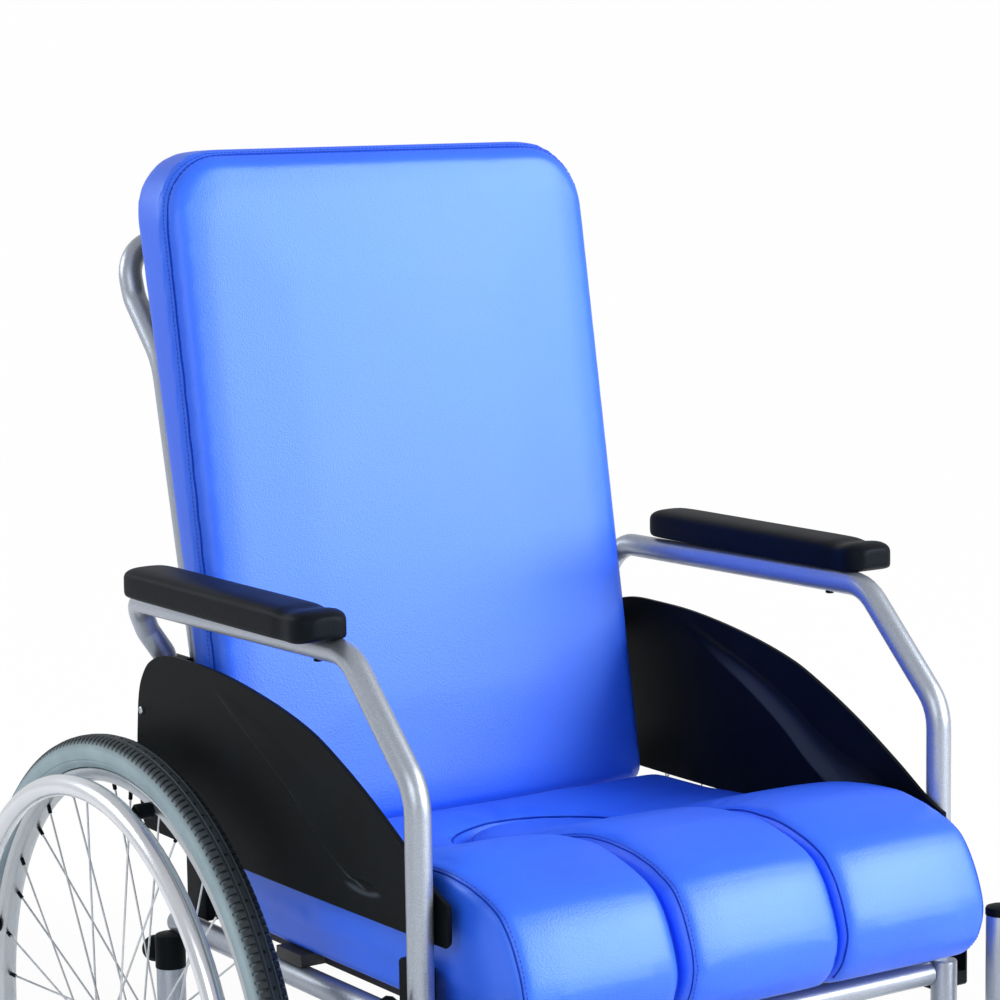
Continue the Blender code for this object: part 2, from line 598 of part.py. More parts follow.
shoe_bar = rod((SHOE_IN + 0.0010, *SHOE_BAR), (WHEEL_X + 0.0173, *SHOE_BAR), 0.0075, 10)
shoe_bore = rod((SHOE_IN - 0.0060, SHOE_Y, SHOE_Z), (SHOE_OUT + 0.0080, SHOE_Y, SHOE_Z), 0.0041, 10)
pair("brake_shoe", combined(shoe_eye, [shoe_arm, shoe_bar], [shoe_bore]), STEEL, (SHOE_IN, SHOE_Y, SHOE_Z))

# Arm frames flip back about a pin behind the back cushion.
ARM_CORNERS = [
    (ARM_X, POST_Y, CUP_LOW + 0.0190), (ARM_X, POST_Y, ARM_TOP_Z - 0.0968),
    (ARM_X, POST_Y + 0.0987, ARM_TOP_Z),
    (ARM_X, HINGE_Y - 0.0080, ARM_TOP_Z - 0.0040), (HINGE_X + 0.0165, HINGE_Y, HINGE_Z + 0.0470),
    (HINGE_X, HINGE_Y, HINGE_Z + 0.0230), (HINGE_X, HINGE_Y, HINGE_Z - 0.0070),
]
arm_path = rounded_path(ARM_CORNERS, [0.045, 0.045, 0.026, 0.020, 0.014], 3)
ARM_HINGE = (HINGE_X, HINGE_Y, HINGE_Z)
HINGE_BORE_R = HINGE_PIN_R + 0.0006
hinge_bore = rod((HINGE_X - 0.0205, HINGE_Y, HINGE_Z), (HINGE_X + 0.0195, HINGE_Y, HINGE_Z), HINGE_BORE_R)
pair("arm_frame", combined(tube(arm_path, TUBE_R, 10), (), [hinge_bore]), SILVER, ARM_HINGE)

# The hinge bracket wraps the outer and rear side of the back post.
hinge_post_y = post_line(HINGE_Z)
HINGE_WALL = HINGE_X - TUBE_R - 0.0005
hinge_plate = box(
    (BACK_X + TUBE_R + GAP, hinge_post_y, HINGE_Z - 0.02), (HINGE_WALL, HINGE_Y + 0.012, HINGE_Z + 0.02)
)
hinge_strap = box(
    (BACK_X - 0.008, hinge_post_y + 0.0162, HINGE_Z - 0.016),
    (HINGE_WALL - 0.0005, hinge_post_y + 0.0205, HINGE_Z + 0.016),
)
PIN_START = HINGE_WALL - 0.0040
PIN_HEAD = HINGE_X + TUBE_R + 0.0010
pin_profile = [
    (0, PIN_START), (HINGE_PIN_R, PIN_START), (HINGE_PIN_R, PIN_HEAD), (0.0080, PIN_HEAD),
    (0.0080, PIN_HEAD + 0.0035), (0, PIN_HEAD + 0.0035),
]
hinge_pin = revolved(pin_profile, (0.0, HINGE_Y, HINGE_Z), 12, "X", False)
pair("arm_hinge", combined(hinge_plate, [hinge_strap, hinge_pin]), BLACK)

# The catch that holds the front post: open to the front and at the top.
CATCH_IN = RAIL_X + TUBE_R + GAP
catch_end = (ARM_X - 0.0127, BRACKET_FRONT - 0.0220, CUP_LOW + 0.1010)
catch_plate = box((CATCH_IN, POST_Y + 0.0130, CUP_LOW + 0.0030), catch_end, None, 0.002)
cup_end = (ARM_X + 0.0158, POST_Y + 0.0270, CUP_LOW + 0.0400)
cup = box((CATCH_IN, POST_Y - 0.0230, CUP_LOW), cup_end, None, 0.002)
SLOT_HALF = TUBE_R + 0.0010
slot_end = (ARM_X + SLOT_HALF, POST_Y + TUBE_R + 0.0015, CUP_LOW + 0.1270)
slot = box((ARM_X - SLOT_HALF, POST_Y - 0.0430, CUP_LOW + 0.0130), slot_end)
pair("arm_catch", combined(catch_plate, [cup], [slot]), BLACK)

# Arm pads: rounded section, blunt rear end and scooped front end.
PAD_LOW = ARM_TOP_Z + TUBE_R + 0.0006
pad_stations = [
    (-0.0410, 0.70, 0.0045, 0.0155), (-0.0430, 0.88, 0.0015, 0.0205), (-0.0510, 0.98, 0.0, 0.0236),
    (-0.1200, 1.00, 0.0, 0.0248), (-0.2600, 1.00, 0.0, 0.0248), (-0.3360, 1.00, 0.0, 0.0240),
    (-0.3540, 0.95, 0.0, 0.0210), (-0.3615, 0.82, 0.0015, 0.0155), (-0.3640, 0.62, 0.0045, 0.0100),
]
pad_rings = []
for y, wide, low, high in pad_stations:
    half = PAD_HALF * wide
    bottom = PAD_LOW + low
    top = PAD_LOW + high
    shoulder = (top - bottom) * 0.62
    section = [
        (half - 0.004, bottom), (half, bottom + 0.003), (half, bottom + shoulder),
        (half - 0.004, top - 0.0035), (half - 0.011, top - 0.0006), (0.0, top),
        (-half + 0.011, top - 0.0006), (-half + 0.004, top - 0.0035),
        (-half, bottom + shoulder), (-half, bottom - 0.0028), (-half + 0.004, bottom - 0.0004),
    ]
    pad_rings.append([(PAD_X + x, y, z) for x, z in section])
pad = bmesh.new()
ring_faces(pad, pad_rings)
pair("arm_pad", finished(pad), PAD)

# Side panels: a plate with a raised pod on each face and a clip round the post.
PANEL_OUTLINE = [
    (0.0300, 0.5300), (0.0345, 0.5600), (0.0345, 0.6000), (0.0300, 0.6380), (0.0220, 0.6590),
    (0.0060, 0.6755),
    (-0.0250, 0.6860), (-0.1000, 0.6870), (-0.1350, 0.6840), (-0.2160, 0.6730), (-0.2800, 0.6585),
    (-0.3250, 0.6410), (-0.3790, 0.6150), (-0.4300, 0.5860), (-0.4670, 0.5630), (-0.4900, 0.5530),
    (-0.4900, 0.5220), (-0.4860, 0.5180), (0.0180, 0.5180),
]
POD_OUTLINE = [
    (-0.1150, 0.6720), (-0.2005, 0.6365), (-0.2667, 0.5978), (-0.3385, 0.5606), (-0.3720, 0.5420),
    (-0.3960, 0.5420), (-0.4050, 0.5560), (-0.3850, 0.5850), (-0.3200, 0.6250), (-0.2400, 0.6530),
]
panel = prism(PANEL_OUTLINE, PANEL_IN, PANEL_OUT)
POD_HEIGHTS = [0.0008, 0.0024, 0.0030, 0.0032, 0.0030, 0.0026, 0.0018, 0.0009, 0.0006, 0.0005]
middle = (PANEL_IN + PANEL_OUT) / 2
pods = []
for way in (1, -1):
    face = PANEL_OUT if way > 0 else PANEL_IN
    foot = [(middle, y, z) for y, z in POD_OUTLINE]
    crest = [(face + way * rise, y, z) for (y, z), rise in zip(POD_OUTLINE, POD_HEIGHTS)]
    pod = bmesh.new()
    ring_faces(pod, [foot, crest])
    pods.append(finished(pod))
clip_face = POST_Y - TUBE_R - 0.0005
clip = box((PANEL_IN + 0.001, clip_face - 0.0100, 0.5270), (ARM_X - 0.0047, clip_face, 0.5780), None, 0.001)
pair("side_panel", combined(panel, [*pods, clip]), BLACK)

# The seat board: a commode opening, and tabs that rest on the side rails.
BOARD_LOW = RAIL_Z + TUBE_R + 0.0004
BOARD_TOP = RAIL_Z + 0.0225
BOARD_HALF = SEAT_HALF - 0.0230
board = box((-BOARD_HALF, -0.4820, BOARD_LOW), (BOARD_HALF, -0.0980, BOARD_TOP))
TAB_SPANS = ((-0.2280, -0.1850), (-0.4480, -0.4120))
TAB_END = RAIL_X + 0.0065
tabs = [box((-TAB_END, front, BOARD_LOW), (TAB_END, back, BOARD_TOP)) for front, back in TAB_SPANS]


def keyhole(half, arc_y, front, steps=8):
    """A slot outline with a round rear end."""
    points = [(half, front)]
    for k in range(steps + 1):
        angle = math.pi * k / steps
        points.append((half * math.cos(angle), arc_y + half * math.sin(angle)))
    points.append((-half, front))
    return points


HOLE_HALF = INSERT_HALF - 0.0130
board_hole = prism(keyhole(HOLE_HALF, INSERT_ARC_Y, -0.4560), 0.42, 0.47, "XY")
part("seat_board", combined(board, tabs, [board_hole]), BOARD)

# The seat cushion's side view: flat at the back, a raised roll at the front.
SEAT_PROFILE = [
    (-0.1450, 0.5250), (-0.1700, 0.5250), (-0.2050, 0.5250), (-0.2400, 0.5280), (-0.2730, 0.5330),
    (-0.3170, 0.5460), (-0.3550, 0.5575), (-0.3880, 0.5660), (-0.4150, 0.5710), (-0.4370, 0.5720),
    (-0.4790, 0.5700), (-0.5080, 0.5630), (-0.5350, 0.5510), (-0.5500, 0.5330), (-0.5600, 0.5120),
    (-0.5670, 0.4870), (-0.5600, 0.4600), (-0.5440, 0.4420),
]
SEAT_LOW = BOARD_TOP + 0.0005
UNDER_ROLL = [
    (-0.4790, SEAT_LOW), (-0.4870, 0.4505), (-0.4940, 0.4480), (-0.5010, 0.4440), (-0.5090, 0.4395),
    (-0.5170, 0.4340),
]
ROLL_LEAN = 0.85


def seat_pairs():
    """Top and bottom point of each cross-section, from the back to under the roll."""
    leans = [min(y - INSERT_ARC_Y, 0.0) * ROLL_LEAN for y, _ in SEAT_PROFILE[:-6]]
    bottoms = [(INSERT_ARC_Y + lean, SEAT_LOW) for lean in leans]
    return list(zip(SEAT_PROFILE, bottoms + UNDER_ROLL))


def cushion_section(inner, outer, top, bottom, crown, edge_drop=0.0085, far_drop=None):
    """One ring of a cushion: drawn-in sides, rounded shoulders and a slight crown.

    inner and outer are the plan points of its two sides; top and bottom are heights
    there, given as functions from a share across (0 to 1) to a point.
    """
    if far_drop is None:
        far_drop = edge_drop
    far_share = 0.88 if far_drop > 0.005 else 0.94
    rows = (
        (0.004, 0.00, 0.0), (-0.0004, 0.45, 0.0), (0.0, 0.88, 0.0), (0.0030, 1.0, edge_drop * 0.42),
        (0.0120, 1.0, edge_drop * 0.06), (None, 1.0, -crown * 0.8), (0.5, 1.0, -crown),
        (None, 1.0, -crown * 0.8), (-0.0120, 1.0, far_drop * 0.06), (-0.0030, 1.0, far_drop * 0.42),
        (-1.0, far_share, 0.0), (-1.0004, 0.45, 0.0), (-0.004, 0.00, 0.0),
    )
    width = (Vector(outer) - Vector(inner)).length
    ring = []
    for index, (inset, share, drop) in enumerate(rows):
        if inset is None:
            across = 0.25 if index < 6 else 0.75
        elif inset == 0.5:
            across = 0.5
        elif inset <= -1.0:
            across = 1.0 + (-1.0 - inset) / width
        elif inset < -0.001 and index > 6:
            across = 1.0 + inset / width
        else:
            across = inset / width
        low = Vector(bottom(across))
        high = Vector(top(across))
        up = (high - low).normalized()
        ring.append(low.lerp(high, share) - up * drop)
    return ring


def seat_side(side):
    """Rings of one arm of the U, from under the roll to where the rear bend starts."""
    rings = []
    inner = INSERT_HALF + 0.0008
    for (top_y, top_z), (low_y, low_z) in reversed(seat_pairs()):
        if top_y > INSERT_ARC_Y:
            continue

        def top(a, y=top_y, z=top_z):
            return (side * (inner + (SEAT_HALF - inner) * a), y, z)

        def bottom(a, y=low_y, z=low_z):
            return (side * (inner + (SEAT_HALF - inner) * a), y, z)

        far = (side * SEAT_HALF, 0)
        rings.append(cushion_section((side * inner, 0), far, top, bottom, 0.0020, 0.0085, 0.0045))
    return rings


def seat_height(y):
    """Height of the seat's flat and rising part at a depth."""
    for (y0, z0), (y1, z1) in zip(SEAT_PROFILE, SEAT_PROFILE[1:]):
        if y1 <= y <= y0:
            return z0 + (z1 - z0) * (y - y0) / (y1 - y0)
    return SEAT_PROFILE[0][1]


SEAT_REAR = -0.0965


def rear_bend():
    """Rings that swing round the back of the insert, from the left arm to the right."""
    rings = []
    inner = INSERT_HALF + 0.0008
    angles = (0, 18, 38, 54, 70, 90, 110, 126, 142, 162, 180)
    depth = SEAT_REAR - INSERT_ARC_Y
    for degrees in angles:
        turn = math.radians(degrees)
        c, s = math.cos(turn), math.sin(turn)
        near = Vector((inner * c, INSERT_ARC_Y + inner * s))
        reach = min(SEAT_HALF / max(abs(c), 1e-6), depth / max(s, 1e-6))
        far = Vector((reach * c, INSERT_ARC_Y + reach * s))
        corner = min(abs(abs(c) * reach - SEAT_HALF), abs(s * reach - depth))
        if degrees in (38, 142):
            far = Vector((math.copysign(SEAT_HALF - 0.004, c), SEAT_REAR - 0.004))
        way = far - near

        def top(a, start=near, step=way):
            x, y = start + step * a
            return (x, y, seat_height(y))

        def bottom(a, start=near, step=way):
            x, y = start + step * a
            return (x, y, SEAT_LOW)

        rings.append(cushion_section(near, far, top, bottom, 0.0012, 0.0085, 0.0045))
    return rings


left_arm = seat_side(1.0)
right_arm = seat_side(-1.0)
seat_mesh = bmesh.new()
ring_faces(seat_mesh, left_arm + rear_bend() + list(reversed(right_arm)))
part("seat_cushion", finished(seat_mesh), VINYL, sharp=50.0)

# The insert fills the keyhole; it rests on the board and lifts out.
insert_rings = []
ARC_STEPS = (0, 18, 38, 54, 70)
arc_stations = [(0.0080, INSERT_ARC_Y + 0.0798, 0.0062)]
for degrees in reversed(ARC_STEPS):
    turn = math.radians(degrees)
    drop = 0.0030 if degrees == 70 else 0.0
    arc_stations.append((INSERT_HALF * math.cos(turn), INSERT_ARC_Y + INSERT_HALF * math.sin(turn), drop))
for half, y, drop in arc_stations:

    def top(a, w=half, y=y, drop=drop):
        return (w * (2 * a - 1), y, seat_height(y) - drop)

    def bottom(a, w=half, y=y):
        return (w * (2 * a - 1), y, SEAT_LOW + 0.0005)

    insert_rings.append(cushion_section((-half, 0), (half, 0), top, bottom, 0.0008, 0.007))
for (top_y, top_z), (low_y, low_z) in seat_pairs():
    if top_y >= INSERT_ARC_Y:
        continue

    def top(a, y=top_y, z=top_z):
        return (INSERT_HALF * (2 * a - 1), y, z)

    def bottom(a, y=low_y, z=low_z):
        return (INSERT_HALF * (2 * a - 1), y, z + 0.0005)

    insert_rings.append(cushion_section((-INSERT_HALF, 0), (INSERT_HALF, 0), top, bottom, 0.0020))
insert_mesh = bmesh.new()
ring_faces(insert_mesh, insert_rings)
part("seat_insert", finished(insert_mesh), VINYL, sharp=50.0)

# The back cushion: a leaning wedge with a crowned front and rounded corners.
BACK_HALF = SEAT_HALF - 0.0095
BACK_LOW = 0.5080
BACK_TOP = 1.1380


def front_plane(z):
    return 0.0020 - 0.167 * (1.085 - z)


def rear_plane(z):
    return -0.0165 + 0.222 * (z - 0.69)


def back_outline(inset, half=BACK_HALF):
    """The cushion's face outline, pulled in by an inset."""
    points = []
    low = BACK_LOW + inset
    high = BACK_TOP - inset
    wide = half - inset
    big = max(0.062 - inset, 0.012)
    small = max(0.022 - inset, 0.006)
    for cx, cz, radius, start, turns, cuts in (
        (wide - big, high - big, big, 0, 5, 3), (-wide + big, high - big, big, 90, 5, 4),
        (-wide + small, low + small, small, 180, 3, 3), (wide - small, low + small, small, 270, 3, 4),
    ):
        for k in range(turns + 1):
            angle = math.radians(start + 90 * k / turns)
            drop = cuts if k == turns else 0
            points.append((cx + radius * math.cos(angle), cz + radius * math.sin(angle), drop))
    dense = []
    for (x0, z0, cuts), (x1, z1, _) in zip(points, points[1:] + points[:1]):
        dense.append((x0, z0))
        for k in range(cuts):
            share = (k + 1) / (cuts + 1)
            dense.append((x0 + (x1 - x0) * share, z0 + (z1 - z0) * share))
    return dense


back_rings = []
for inset, depth, rise in (
    (0.0070, 1.0, 0.0), (0.0020, 0.88, 0.0), (0.0010, 0.55, 0.0), (0.0, 0.16, 0.0), (0.0032, 0.02, 0.0005),
    (0.0100, 0.0, -0.0022), (0.0400, 0.0, -0.0050), (0.1200, 0.0, -0.0078),
):
    ring = []
    for x, z in back_outline(inset):
        ahead = front_plane(z)
        behind = rear_plane(z)
        ring.append((x, ahead + (behind - ahead) * depth + rise + 0.0008, z))
    back_rings.append(ring)
back_mesh = bmesh.new()
ring_faces(back_mesh, back_rings)
part("back_cushion", finished(back_mesh), VINYL, sharp=50.0)

# The thin board between the cushion and the posts.
board_outline = []
for x, z in back_outline(0.0170):
    board_outline.append((x, z))
board_rings = []
for back in (0.0004, 0.0078):
    board_rings.append([(x, rear_plane(z) + 0.0008 + back, z) for x, z in board_outline])
back_board = bmesh.new()
ring_faces(back_board, board_rings)
part("back_board", finished(back_board), BOARD)

# Pan rails hang under the seat board; the pan's rim slides on their feet.
PAN_Y = -0.2950
PAN_R = 0.1400
PAN_RAIL_X = PAN_R + 0.0040
RAIL_REAR = -0.0600
RAIL_HEAD = BOARD_LOW - GAP
rail_section = [
    (PAN_RAIL_X + 0.0030, RAIL_FOOT_Z - 0.0030), (PAN_RAIL_X + 0.0030, RAIL_HEAD),
    (PAN_RAIL_X - 0.0140, RAIL_HEAD),
    (PAN_RAIL_X - 0.0140, RAIL_HEAD - 0.0030), (PAN_RAIL_X, RAIL_HEAD - 0.0030), (PAN_RAIL_X, RAIL_FOOT_Z),
    (PAN_RAIL_X - 0.0180, RAIL_FOOT_Z), (PAN_RAIL_X - 0.0180, RAIL_FOOT_Z - 0.0030),
]
pair("pan_rail", prism(rail_section, -0.4560, RAIL_REAR, "XZ"), BLACK)
RIM_LOW = RAIL_FOOT_Z + 0.0005
RIM_TOP = RIM_LOW + 0.0045
PAN_LOW = 0.3000
PAN_PROFILE = [
    (0, PAN_LOW), (PAN_R - 0.0440, PAN_LOW), (PAN_R - 0.0360, PAN_LOW + 0.0080), (PAN_R - 0.0190, RIM_LOW),
    (PAN_R, RIM_LOW), (PAN_R, RIM_TOP), (PAN_R - 0.0225, RIM_TOP), (PAN_R - 0.0395, PAN_LOW + 0.0100),
    (PAN_R - 0.0460, PAN_LOW + 0.0035),
    (0, PAN_LOW + 0.0035),
]
pan = revolved(PAN_PROFILE, (0.0, PAN_Y, 0.0), 28, "Z", False)
GRIP_Y = PAN_Y + PAN_R
GRIP_HALF = 0.0450
grip = box(
    (-GRIP_HALF, GRIP_Y - 0.0120, RIM_LOW - 0.0120), (GRIP_HALF, GRIP_Y + 0.0180, RIM_TOP - 0.0003),
    None, 0.0015
)
part("commode_pan", combined(pan, [grip]), PAN_WHITE)
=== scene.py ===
# %% [markdown]
# # A self-propelled commode chair, dressed for its picture
#
# The solid model of the chair is loaded as a fixed frame. It already has every length and
# joint right, so nothing in it is moved. This lesson gives each visible piece its real
# form and finish: cushions that swell and carry seams, tubes with smooth bends, a treaded
# tyre, spokes and small screws.

# %% Load the chair
import json
from math import atan2, copysign, cos, degrees, exp, hypot, pi, radians, sin, sqrt, tan, tanh, tau

import bmesh
import bpy
from mathutils import Matrix, Vector
from mathutils.bvhtree import BVHTree
from mathutils.kdtree import KDTree


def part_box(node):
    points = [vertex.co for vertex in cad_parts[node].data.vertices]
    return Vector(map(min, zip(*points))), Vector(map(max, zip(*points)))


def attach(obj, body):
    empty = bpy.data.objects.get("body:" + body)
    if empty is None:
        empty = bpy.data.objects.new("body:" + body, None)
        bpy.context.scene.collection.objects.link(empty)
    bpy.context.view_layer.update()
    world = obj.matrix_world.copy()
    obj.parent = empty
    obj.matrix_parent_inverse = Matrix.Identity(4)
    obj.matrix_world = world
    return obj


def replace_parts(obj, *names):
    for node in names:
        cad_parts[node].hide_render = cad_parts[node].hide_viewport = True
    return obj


mesh = bpy.ops.mesh

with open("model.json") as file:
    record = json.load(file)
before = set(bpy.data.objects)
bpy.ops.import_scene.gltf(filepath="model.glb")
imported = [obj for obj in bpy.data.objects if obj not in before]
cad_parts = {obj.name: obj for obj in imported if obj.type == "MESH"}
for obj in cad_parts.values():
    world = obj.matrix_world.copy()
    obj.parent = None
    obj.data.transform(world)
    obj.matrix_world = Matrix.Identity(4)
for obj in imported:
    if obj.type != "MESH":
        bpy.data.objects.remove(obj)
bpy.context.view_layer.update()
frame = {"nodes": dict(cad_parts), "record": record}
nodes = frame["nodes"]

# %% Measures that many pieces share
DEPTH = 0.2875  # the axle lies this far behind the chair's middle
WHEEL_X, WHEEL_R = 0.2957, 0.305
AXLE = Vector((WHEEL_X, DEPTH, WHEEL_R))
TUBE_R = 0.011
SIDES = (("left", 1.0), ("right", -1.0))
print("axle at", tuple(AXLE))

# %% [markdown]
# ## Camera
#
# The photograph looks at the chair from its right front, a little above the arms, through
# a long lens from three metres away. The wheel's ellipse and the two arms fix that view.
# The camera's own axes are written as the columns of a matrix, because that keeps the
# small roll that a pair of aiming angles would lose.

# %% Place the camera
def placed(name, data):
    """A new object with its data, linked to the scene."""
    made = bpy.data.objects.new(name, data)
    bpy.context.scene.collection.objects.link(made)
    return made


FOCAL_LENGTH, SENSOR_WIDTH = 111.34, 36.0
CAMERA_SPOT = (-1.5395, -2.1936, 1.1913)
lens = bpy.data.cameras.new("photo_camera")
lens.lens, lens.sensor_width, lens.clip_end = FOCAL_LENGTH, SENSOR_WIDTH, 60.0
camera = placed("photo_camera", lens)
look = Vector((0.55164, 0.82348, -0.13258))
right = Vector((0.8296, -0.55816, -0.015))
above = Vector((0.08635, 0.10172, 0.99106))
turned = Matrix((right, above, -look)).transposed().to_4x4()
camera.matrix_world = Matrix.Translation(CAMERA_SPOT) @ turned
bpy.context.scene.camera = camera
bpy.context.scene.view_settings.view_transform = "Standard"
print("camera stands at", tuple(round(v, 3) for v in camera.location))

# %% [markdown]
# ## Shader sums
#
# A finish is easier to read as a sum than as a web of nodes. A small class wraps a
# socket, so that `0.4 + 0.1 * grain` adds the Math nodes by itself. Any other node comes
# from one method, which takes the node's type, its settings and its inputs. The world
# is built with the same method.


# %% A socket that takes part in sums
class Sum:
    """An output socket; sums with it add Math nodes."""

    def __init__(self, nodes, socket):
        self.nodes = nodes
        self.socket = socket

    def step(self, operation, *values):
        inputs = dict(enumerate(values))
        return self.nodes.node("ShaderNodeMath", {"operation": operation}, inputs)

    def __add__(self, other):
        return self.step("ADD", self, other)

    def __mul__(self, other):
        return self.step("MULTIPLY", self, other)

    def at_most(self, limit):
        return self.step("MINIMUM", self, limit)

    __radd__ = __add__
    __rmul__ = __mul__


# %% The nodes of a material or of the world
WHITE = (1.0, 1.0, 1.0)


class Nodes:
    """One node tree, with the node maker that fills it."""

    def __init__(self, tree):
        self.tree = tree

    def node(self, kind, settings=None, inputs=None, output=0):
        made = self.tree.nodes.new(kind)
        for name, value in (settings or {}).items():
            if name == "stops":
                for stop, (place, shade) in zip(made.color_ramp.elements, value):
                    stop.position = place
                    stop.color = (shade, shade, shade, 1.0)
            else:
                setattr(made, name, value)
        for name, value in (inputs or {}).items():
            self.feed(made.inputs[name], value)
        return Sum(self, made.outputs[output])

    def feed(self, socket, value):
        if isinstance(value, Sum):
            self.tree.links.new(value.socket, socket)
        elif socket.type == "RGBA":
            socket.default_value = (*value, 1.0)
        else:
            socket.default_value = value

    def rays(self):
        """Sockets that are 1 for a ray from the camera, off a mirror or through glass."""
        paths = self.tree.nodes.new("ShaderNodeLightPath")
        return (Sum(self, paths.outputs[f"Is {kind} Ray"]) for kind in ("Camera", "Glossy", "Transmission"))

    def show(self, share, first, second):
        """Show two shaders, mixed by a share."""
        mixed = self.node("ShaderNodeMixShader", {}, {0: share, 1: first, 2: second})
        output = self.tree.nodes.get("Material Output") or self.tree.nodes["World Output"]
        self.feed(output.inputs["Surface"], mixed)


# %% A finish and what changes over it
class Finish(Nodes):
    """One material, with the patterns that feed its sockets."""

    def __init__(self, name, **constants):
        self.material = bpy.data.materials.new(name)
        self.material.use_nodes = True
        super().__init__(self.material.node_tree)
        self.shader = self.tree.nodes["Principled BSDF"]
        for socket, value in constants.items():
            self.feed(self.shader.inputs[socket.replace("_", " ")], value)

    def place(self, stretch=(1.0, 1.0, 1.0)):
        """Object coordinates, stretched along the axes."""
        spot = self.node("ShaderNodeTexCoord", output=3)
        return self.node("ShaderNodeMapping", {}, {"Vector": spot, "Scale": stretch})

    def speckle(self, scale, detail=2.0, stretch=(1.0, 1.0, 1.0)):
        """Soft noise around one half."""
        inputs = {"Vector": self.place(stretch), "Scale": scale, "Detail": detail}
        return self.node("ShaderNodeTexNoise", {}, inputs)

    def cells(self, scale):
        """Distance to the nearest cell point, as on pebbled skin."""
        return self.node("ShaderNodeTexVoronoi", {}, {"Vector": self.place(), "Scale": scale})

    def apart(self, spot, stretch):
        """Distance from a place, in stretched Object coordinates."""
        ends = {0: self.place(stretch), 1: spot}
        return self.node("ShaderNodeVectorMath", {"operation": "DISTANCE"}, ends, output=1)

    def painted_sheen(self):
        """The piece's painted highlight share: 0 where it has none."""
        return self.node("ShaderNodeAttribute", {"attribute_name": "rub"}, output=2)

    def ramp(self, value, low, high, shades=(0.0, 1.0)):
        stops = ((low, shades[0]), (high, shades[1]))
        return self.node("ShaderNodeValToRGB", {"stops": stops}, {"Fac": value})

    def blend(self, share, first, second):
        """A colour between two colours."""
        pair = {0: share, 6: first, 7: second}
        return self.node("ShaderNodeMix", {"data_type": "RGBA"}, pair, output=2)

    def wear(self, colour, roughness=None, height=None, depth=0.0005):
        """Feed the sockets that change over the surface."""
        self.feed(self.shader.inputs["Base Color"], colour)
        if roughness is not None:
            self.feed(self.shader.inputs["Roughness"], roughness)
        if height is not None:
            inputs = {"Height": height, "Distance": depth, "Strength": 1.0}
            self.feed(self.shader.inputs["Normal"], self.node("ShaderNodeBump", {}, inputs))


def clouded(name, noise, colours, rough, depth, fine=None, **constants):
    """A finish whose colour and roughness follow one noise, and its height that or a finer one."""
    made = Finish(name, **constants)
    cloud = made.speckle(*noise)
    height = made.speckle(fine) if fine else cloud
    made.wear(made.blend(cloud, *colours), rough[0] + rough[1] * cloud, height, depth)
    return made


# %% [markdown]
# ## Finishes
#
# The cushions are wipe-clean vinyl: a bright blue sheet with a fine pebbled grain that
# scatters a pale sheen. The tubes are silver powder coat, which has tiny flakes and a soft
# orange-peel surface. The plastics are black with a spark-eroded grain. Each finish below
# varies a little in colour and roughness, as a wiped and handled surface does. Two finishes
# also carry painted light: the dark cords partly paint the shade in the seam grooves, and
# the black plastic is painted a lighter grey where the side panels' scoop catches light.

# %% Vinyl, piping and thread
vinyl = Finish("blue_vinyl", Specular_IOR_Level=1.0, Specular_Tint=(0.6, 0.88, 1.0))
grain = vinyl.cells(620.0)
cloud = vinyl.speckle(7.0, 3.0)
fleck = vinyl.speckle(900.0, 1.0)
shade = vinyl.blend(vinyl.ramp(cloud, 0.35, 0.65), (0.01, 0.09, 0.86), (0.014, 0.114, 0.92))
vinyl.wear(
    vinyl.blend(0.34 * fleck, shade, (0.05, 0.2, 0.92)),
    0.37 + 0.08 * cloud + 0.06 * fleck,
    height=0.75 * grain + 0.5 * fleck,
    depth=0.00014,
)

# Partly painted shade: the piping is a much darker blue than the vinyl, so each cord also paints the shade
# of the groove along its seam.
piping_and_seam_shade = Finish("blue_piping_and_painted_seam_shade", Specular_IOR_Level=0.4, Specular_Tint=(0.1, 0.4, 1.0))
piping_and_seam_shade.wear(
    piping_and_seam_shade.blend(piping_and_seam_shade.speckle(60.0), (0.002, 0.024, 0.34), (0.003, 0.034, 0.44)),
    0.38 + 0.08 * piping_and_seam_shade.speckle(240.0),
    height=piping_and_seam_shade.cells(700.0),
    depth=0.00012,
)

thread = Finish("blue_thread", Roughness=0.62, Specular_IOR_Level=0.2)
weave = {"Vector": thread.place(), "Scale": 900.0}
twist = thread.node("ShaderNodeTexWave", {"bands_direction": "DIAGONAL"}, weave)
thread.wear(
    thread.blend(twist, (0.01, 0.05, 0.42), (0.025, 0.1, 0.62)),
    height=twist,
    depth=0.0001,
)
print("soft finishes", vinyl.material.name, piping_and_seam_shade.material.name, thread.material.name)

# %% Metals
silver = Finish("silver_powder_coat", Metallic=0.8, Coat_Weight=0.35, Coat_Roughness=0.14)
flake = silver.speckle(1600.0, 1.0)
peel = silver.speckle(260.0, 2.0)
silver.wear(
    silver.blend(silver.ramp(flake, 0.35, 0.7), (0.33, 0.37, 0.44), (0.5, 0.55, 0.63)),
    0.34 + 0.1 * peel,
    height=0.6 * peel + 0.4 * flake,
    depth=0.00006,
)

alloy = clouded("satin_alloy_rim", (90.0, 4.0, (14.0, 1.0, 1.0)),
                ((0.44, 0.48, 0.52), (0.64, 0.68, 0.72)), (0.3, 0.14), 0.00004, Metallic=0.92)
bright = clouded("bright_handrim", (16.0, 4.0), ((0.7, 0.73, 0.79), (0.86, 0.89, 0.94)),
                 (0.2, 0.1), 0.00002, 120.0, Metallic=0.8, Coat_Weight=0.3, Coat_Roughness=0.12)
steel = clouded("plated_steel", (220.0, 3.0), ((0.52, 0.55, 0.58), (0.74, 0.77, 0.8)),
                (0.22, 0.16), 0.00003, Metallic=1.0)
print("metal finishes made")

